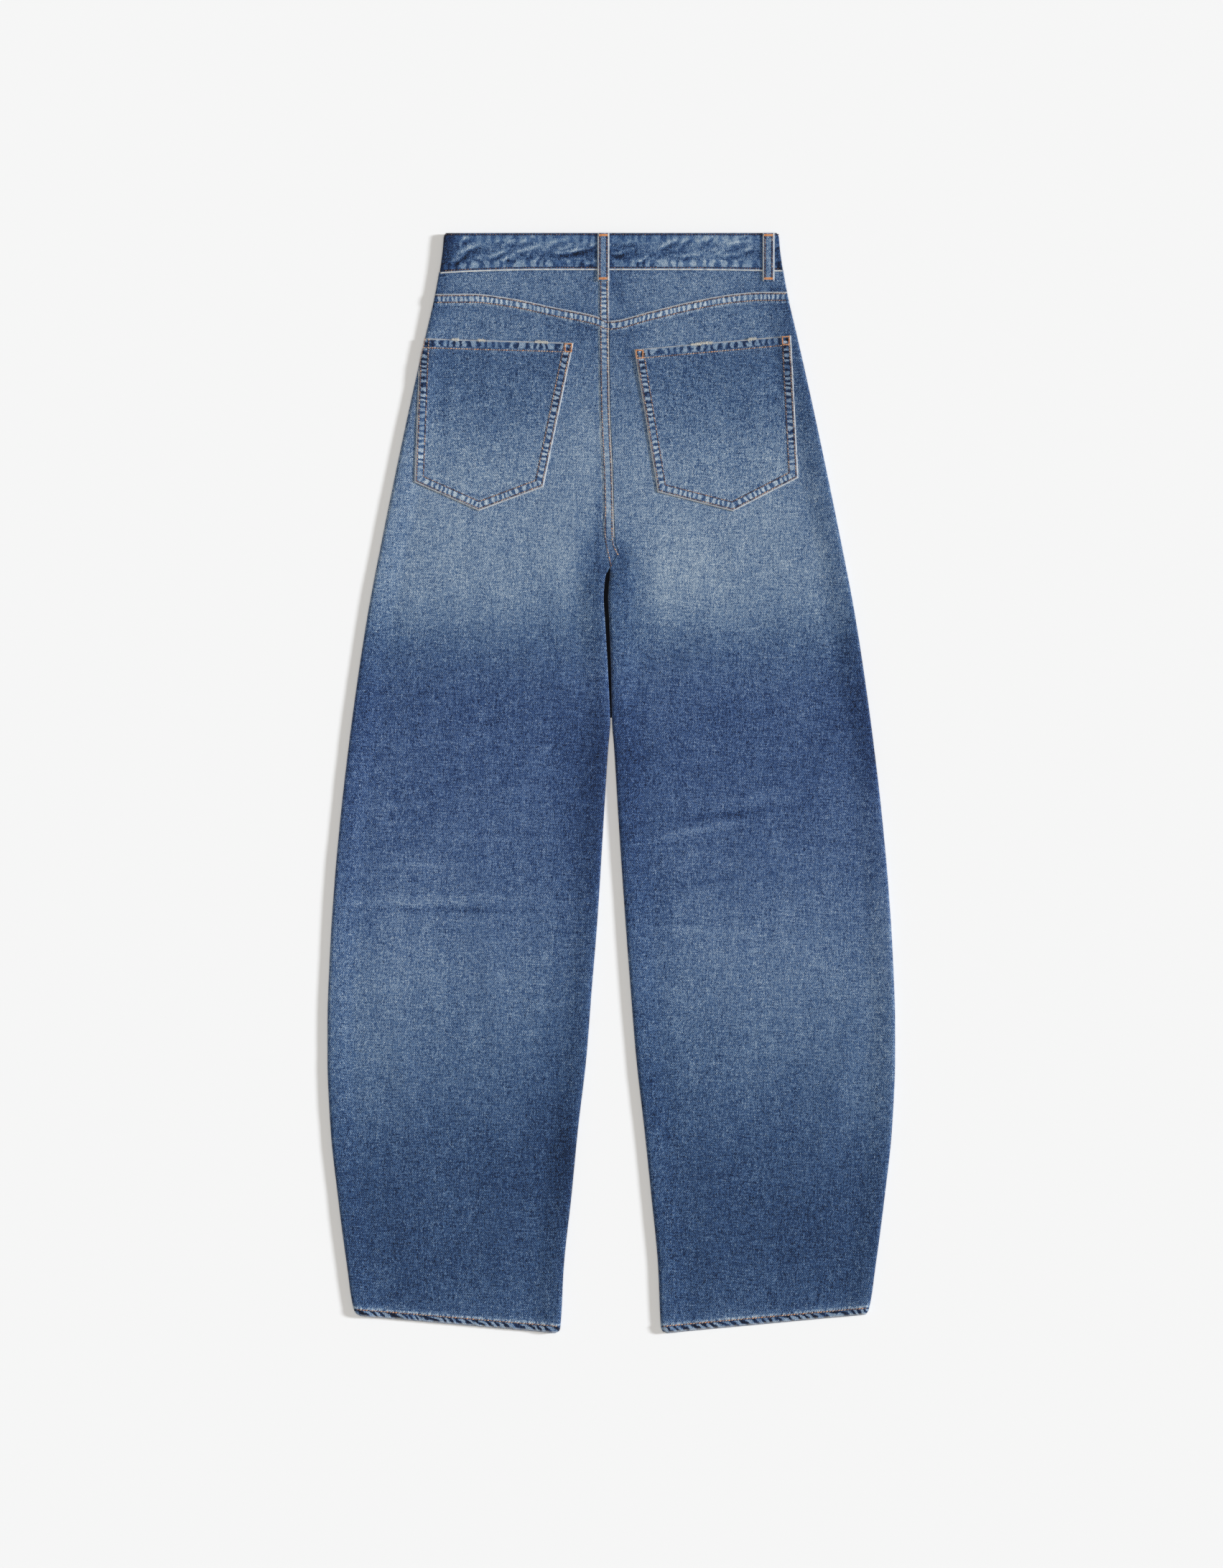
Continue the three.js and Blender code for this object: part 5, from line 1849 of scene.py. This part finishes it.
@dataclass
class FrontLeg:
    """A front leg panel: on the surface, plain, rising to the waistband."""

    side: int
    step: float = 5.0

    def inner(self, down: Array) -> Array:
        """X of its inner end: the centre front seam, then the middle under the gap between the legs, where it
        is painted in shade, then beside the back panel's inner lip.
        """
        started = (down - CURL_FROM) / CURL_OVER
        retreat = (CLOTH / 2 + LAY.radius(down) + 0.3) * smooth((started - 0.05) / 0.25)
        lip = np.maximum(0.0, LAY.curl(down) - math.pi * LAY.radius(down))
        below = LAY.inner(self.side, down) + self.side * (retreat + lip)
        middle = (LAY.inner(-1, down) + LAY.inner(1, down)) / 2
        below = mixed(middle, below, between(474.0, 480.0, down))
        return np.where(down <= CURL_FROM, FRONT_SEAM(down) + self.side * 0.15, below)

    def surface(self) -> Surface:
        """The panel's grid, from the waistband to the hem.

        Returns:
            The surface, facing down.
        """
        side = self.side
        upper = np.linspace(0.0, 1.0, 8)[:-1][:, None]
        waist, yoke_end = LAY.waist_seam(LAY.outer(side, 38.0)), YOKE_SEAM(LAY.outer(side, 58.0))
        upper_outer = mixed(waist + 0.3, yoke_end, upper)
        rows = (
            graded(SEAM_TOP, 310.0, 4.0, 30.0, self.step), np.arange(312.0, 350.0, 2.0),
            np.arange(352.0, 1058.0, self.step), np.arange(1060.0, LENGTH, 2.0), [LENGTH],
        )
        nominal_leg = np.concatenate(rows)[:, None]
        leg_outer = LAY.leg_row(side, nominal_leg, np.zeros_like(nominal_leg))
        nominal = np.vstack([mixed(39.0, 58.0, upper), nominal_leg])
        outer_down = np.vstack([upper_outer, leg_outer])
        outer = LAY.outer(side, outer_down)
        start = outer - side * (CLOTH / 2 + LAY.radius(outer_down) + SIDE_LIP[side] + 0.1)
        end = self.inner(nominal)
        inner_share = (end - outer) / (LAY.inner(side, nominal) - outer)
        slanted = LAY.leg_row(side, nominal, inner_share)
        inner_down = np.where(nominal > 600, slanted, np.maximum(nominal, outer_down))
        share = np.concatenate([np.linspace(0.0, 0.94, 42), np.linspace(0.95, 1.0, 9)])[None, :]
        x = mixed(start, end, share)
        plain = mixed(outer_down, inner_down, share)
        down = plain + LAY.front_dip(x) * np.clip((160 - nominal) / 121, 0, 1)
        aside = np.abs(x - (LAY.inner(-1, plain) + LAY.inner(1, plain)) / 2)
        # under the gap between the legs it passes over their lips, so that these show from below
        z = LAY.low(plain) + 0.12 * between(24.0, 18.0, aside) * between(326.0, 332.0, plain)
        # painted shade: the strip under the narrow gap between the legs is painted near black
        depth = between(4.5, 2.5, aside)
        light = WASH_AND_SHADE.at(-x, plain) * 0.97 - 1.2 * depth * between(322.0, 328.0, plain)
        paint = {"wash_and_shade": three(light, 0.0, 0.0), "hem": three(x, LENGTH - nominal, 0.0)}
        cloth = Surface(x, down, z, 0.0, -1.0, CLOTH / 2, paint)
        return cloth.turned(Edge.FOOT, [(0.3, 0.3), (0.35, 0.9), (0.0, 1.4), (-3.0, 1.7), (-12.0, 1.7)])

    def sewing(self) -> Sewing:
        """The hem's row, and on the left front the curved rows beside the closing.

        Returns:
            The stitches, under the garment.
        """
        side = self.side
        sewing = Sewing(f"stitches_front_{SIDE_NAME[side]}", 90 + side)
        share = np.linspace(0.1, 0.93, 200)
        nominal = np.full_like(share, LENGTH - HEM.rows[0])
        down = LAY.leg_row(side, nominal, share)
        x = mixed(LAY.outer(side, down[0]), LAY.inner(side, nominal[0]), share)
        sewing.row(place_on(x, down, THREAD_RISE), tone=0.7, up=DOWNWARD, thick=0.3)
        if side < 0:
            for apart in (0.0, 6.4):
                fall = np.linspace(50.0, 168.0 + apart * 0.4, 120)
                curve = smooth((fall - 130.0) / (38.0 + apart * 0.4)) ** 2
                x = FRONT_SEAM(fall) - (34.0 + apart) * (1 - curve) - 1.2
                z = LAY.low(fall - 8.0) - CLOTH / 2 + 0.02
                sewing.row(place_on(x, fall, z), tone=0.55, up=DOWNWARD, thick=0.3)
        return sewing


@dataclass
class Studio:
    """The pale floor, soft light from the right, and the camera straight above."""

    lens: float = 200.0
    key_height: float = 24.5
    key_turn: float = 7.0
    key_strength: float = 3.3
    key_wide: float = 9.0
    key_colour: tuple[float, float, float] = (0.955, 0.995, 1.05)
    fill_strength: float = 1.44
    fill_wide: float = 34.0
    fill_colour: tuple[float, float, float] = (1.03, 1.0, 0.955)
    sky_strength: float = 0.14
    sky_colour: tuple[float, float, float, float] = (1.0, 0.985, 0.95, 1.0)
    film: float = 36.0
    floor_reach: float = 4.0

    def build(self) -> None:
        """Makes the floor, the two far lights, the surrounding light and the camera."""
        corners = np.array([[-1, -1], [1, -1], [1, 1], [-1, 1]]) * self.floor_reach
        floor = mesh_object("floor", three(*corners.T, -0.2 * MM), np.array([[0, 1, 2, 3]]))
        floor.data.materials.append(Paper().build())
        scene = bpy.context.scene
        world = bpy.data.worlds.new("studio")
        scene.world = world
        world.use_nodes = True
        background = world.node_tree.nodes["Background"]
        background.inputs["Color"].default_value = self.sky_colour
        background.inputs["Strength"].default_value = self.sky_strength
        lean = 90.0 - self.key_height
        self.light("key", self.key_strength, self.key_wide, self.key_colour, lean, self.key_turn)
        self.light("fill", self.fill_strength, self.fill_wide, self.fill_colour, 0.0, 0.0)
        scene.view_settings.view_transform = "Standard"
        self.camera()

    def light(self, name: str, strength: float, wide: float, colour: tuple, lean: float, turn: float) -> None:
        """Adds a far light.

        Args:
            name: Its name.
            strength: Its strength.
            wide: Its angular width in degrees.
            colour: Its colour.
            lean: How far it leans from straight above, in degrees.
            turn: Which way it leans, in degrees from the right.
        """
        data = bpy.data.lights.new(name, "SUN")
        data.energy, data.angle, data.color = strength, math.radians(wide), colour
        lamp = bpy.data.objects.new(name, data)
        lamp.rotation_euler = (0.0, math.radians(lean), math.radians(turn))
        bpy.context.scene.collection.objects.link(lamp)

    def camera(self) -> None:
        """Puts the camera straight above, as far as its lens needs for the picture's height."""
        tall = PHOTO_SIZE[1]
        data = bpy.data.cameras.new("camera")
        data.lens, data.sensor_width = self.lens, self.film
        field_high = tall * PIXEL_MM * MM
        camera = bpy.data.objects.new("camera", data)
        # the middle of the photograph lies this far from the garment's
        camera.location = (0.2 * MM, -1.05 * MM, field_high * self.lens / self.film)
        data.clip_start, data.clip_end = 0.1, 100.0
        bpy.context.scene.collection.objects.link(camera)
        bpy.context.scene.camera = camera


def dress(obj: bpy.types.Object, material: bpy.types.Material) -> bpy.types.Object:
    """Gives a piece its finish in its material slot, and its body.

    Args:
        obj: The piece.
        material: Its finish.

    Returns:
        The piece.
    """
    obj.data.materials.append(material)
    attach(obj, "root")
    LOG.info("%s: %d faces", obj.name, len(obj.data.polygons))
    return obj


def lay(node: str, cloth: Surface, denim: bpy.types.Material,
        sewn: Sequence[tuple[Sewing, bpy.types.Material]]) -> None:
    """Makes a piece of cloth and what is sewn on it, in place of its solid, which it hides.

    Args:
        node: The solid that it replaces.
        cloth: Its surface.
        denim: Its finish.
        sewn: Stitches and loose threads on it, each with its finish.
    """
    piece = dress(cloth.mesh(f"cloth_{node}"), denim)
    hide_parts(node)
    sewn_pieces = [dress(sewing.mesh(), thread) for sewing, thread in sewn]


def build_back(thread: bpy.types.Material, loose: bpy.types.Material) -> None:
    """Makes the back: legs, yokes and pockets with their sewing.

    Args:
        thread: Finish of the stitches.
        loose: Finish of the frayed threads.
    """
    leg_denim = Denim("denim_leg", 2.0, (FELL, HEM)).build()
    yoke_denim = Denim("denim_yoke", -4.0, (FELL,)).build()
    for side, name in SIDE_NAME.items():
        front, leg, yoke, pocket = f"front_{name}", BackLeg(side), Yoke(side), Pocket(side)
        sewn = [(leg.sewing(), thread)]
        lay(f"back_{name}", leg.surface(), leg_denim, sewn)
        sewn = [(yoke.sewing(), thread)] if side < 0 else []
        lay(f"yoke_{name}", yoke.surface(), yoke_denim, sewn)
        denim = Denim(f"denim_pocket_{name}", 3.0 * side, (RIM, MOUTH)).build()
        sewn = [(pocket.sewing(), thread), (pocket.fraying(), loose)]
        lay(f"pocket_{name}", pocket.surface(), denim, sewn)


def build_front(thread: bpy.types.Material) -> None:
    """Makes the plain fronts, which lie underneath, with the given thread."""
    denim = Denim("denim_front", 0.0, (HEM,)).build()
    for side, name in SIDE_NAME.items():
        front = FrontLeg(side)
        sewn = [(front.sewing(), thread)]
        lay(f"front_{name}", front.surface(), denim, sewn)


def build_waist(thread: bpy.types.Material) -> None:
    """Makes the waistband, the belt loops and the button's finish.

    Args:
        thread: Finish of the stitches.
    """
    band, under = Waistband(), ["yoke_left", "yoke_right"]
    denim = Denim("denim_waistband", 5.0, (FOOT, CROWN), 0.85).build()
    sewn = [(band.sewing(), thread)]
    lay("waistband", band.surface(), denim, sewn)
    denim = Denim("denim_loop", 0.0, (LOOP_EDGE,), 0.8).build()
    for name, centre, under in (
        ("back_centre", -7.7, False), ("back_right", 153.1, False), ("side_left", -140.0, True),
        ("front_left", -70.0, True), ("front_right", 84.0, True),
    ):
        loop = BeltLoop(f"loop_{name}", centre, under)
        sewn = [(loop.sewing(), thread)]
        lay(loop.name, loop.surface(), denim, sewn)
    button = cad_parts["waist_button"]
    button.data.materials.clear()
    button.data.materials.append(Copper().build())


def main() -> None:
    """Builds the garment and the studio."""
    logging.basicConfig(level=logging.INFO, format="%(name)s: %(message)s")
    thread = Thread("thread_topstitch").build()
    creams = ((176, 176, 172), (202, 200, 192), (214, 211, 203), (226, 222, 212))
    loose = Thread("thread_frayed", *creams).build()
    build_back(thread, loose)
    build_front(thread)
    build_waist(thread)
    Studio().build()


if __name__ == "__main__":
    main()
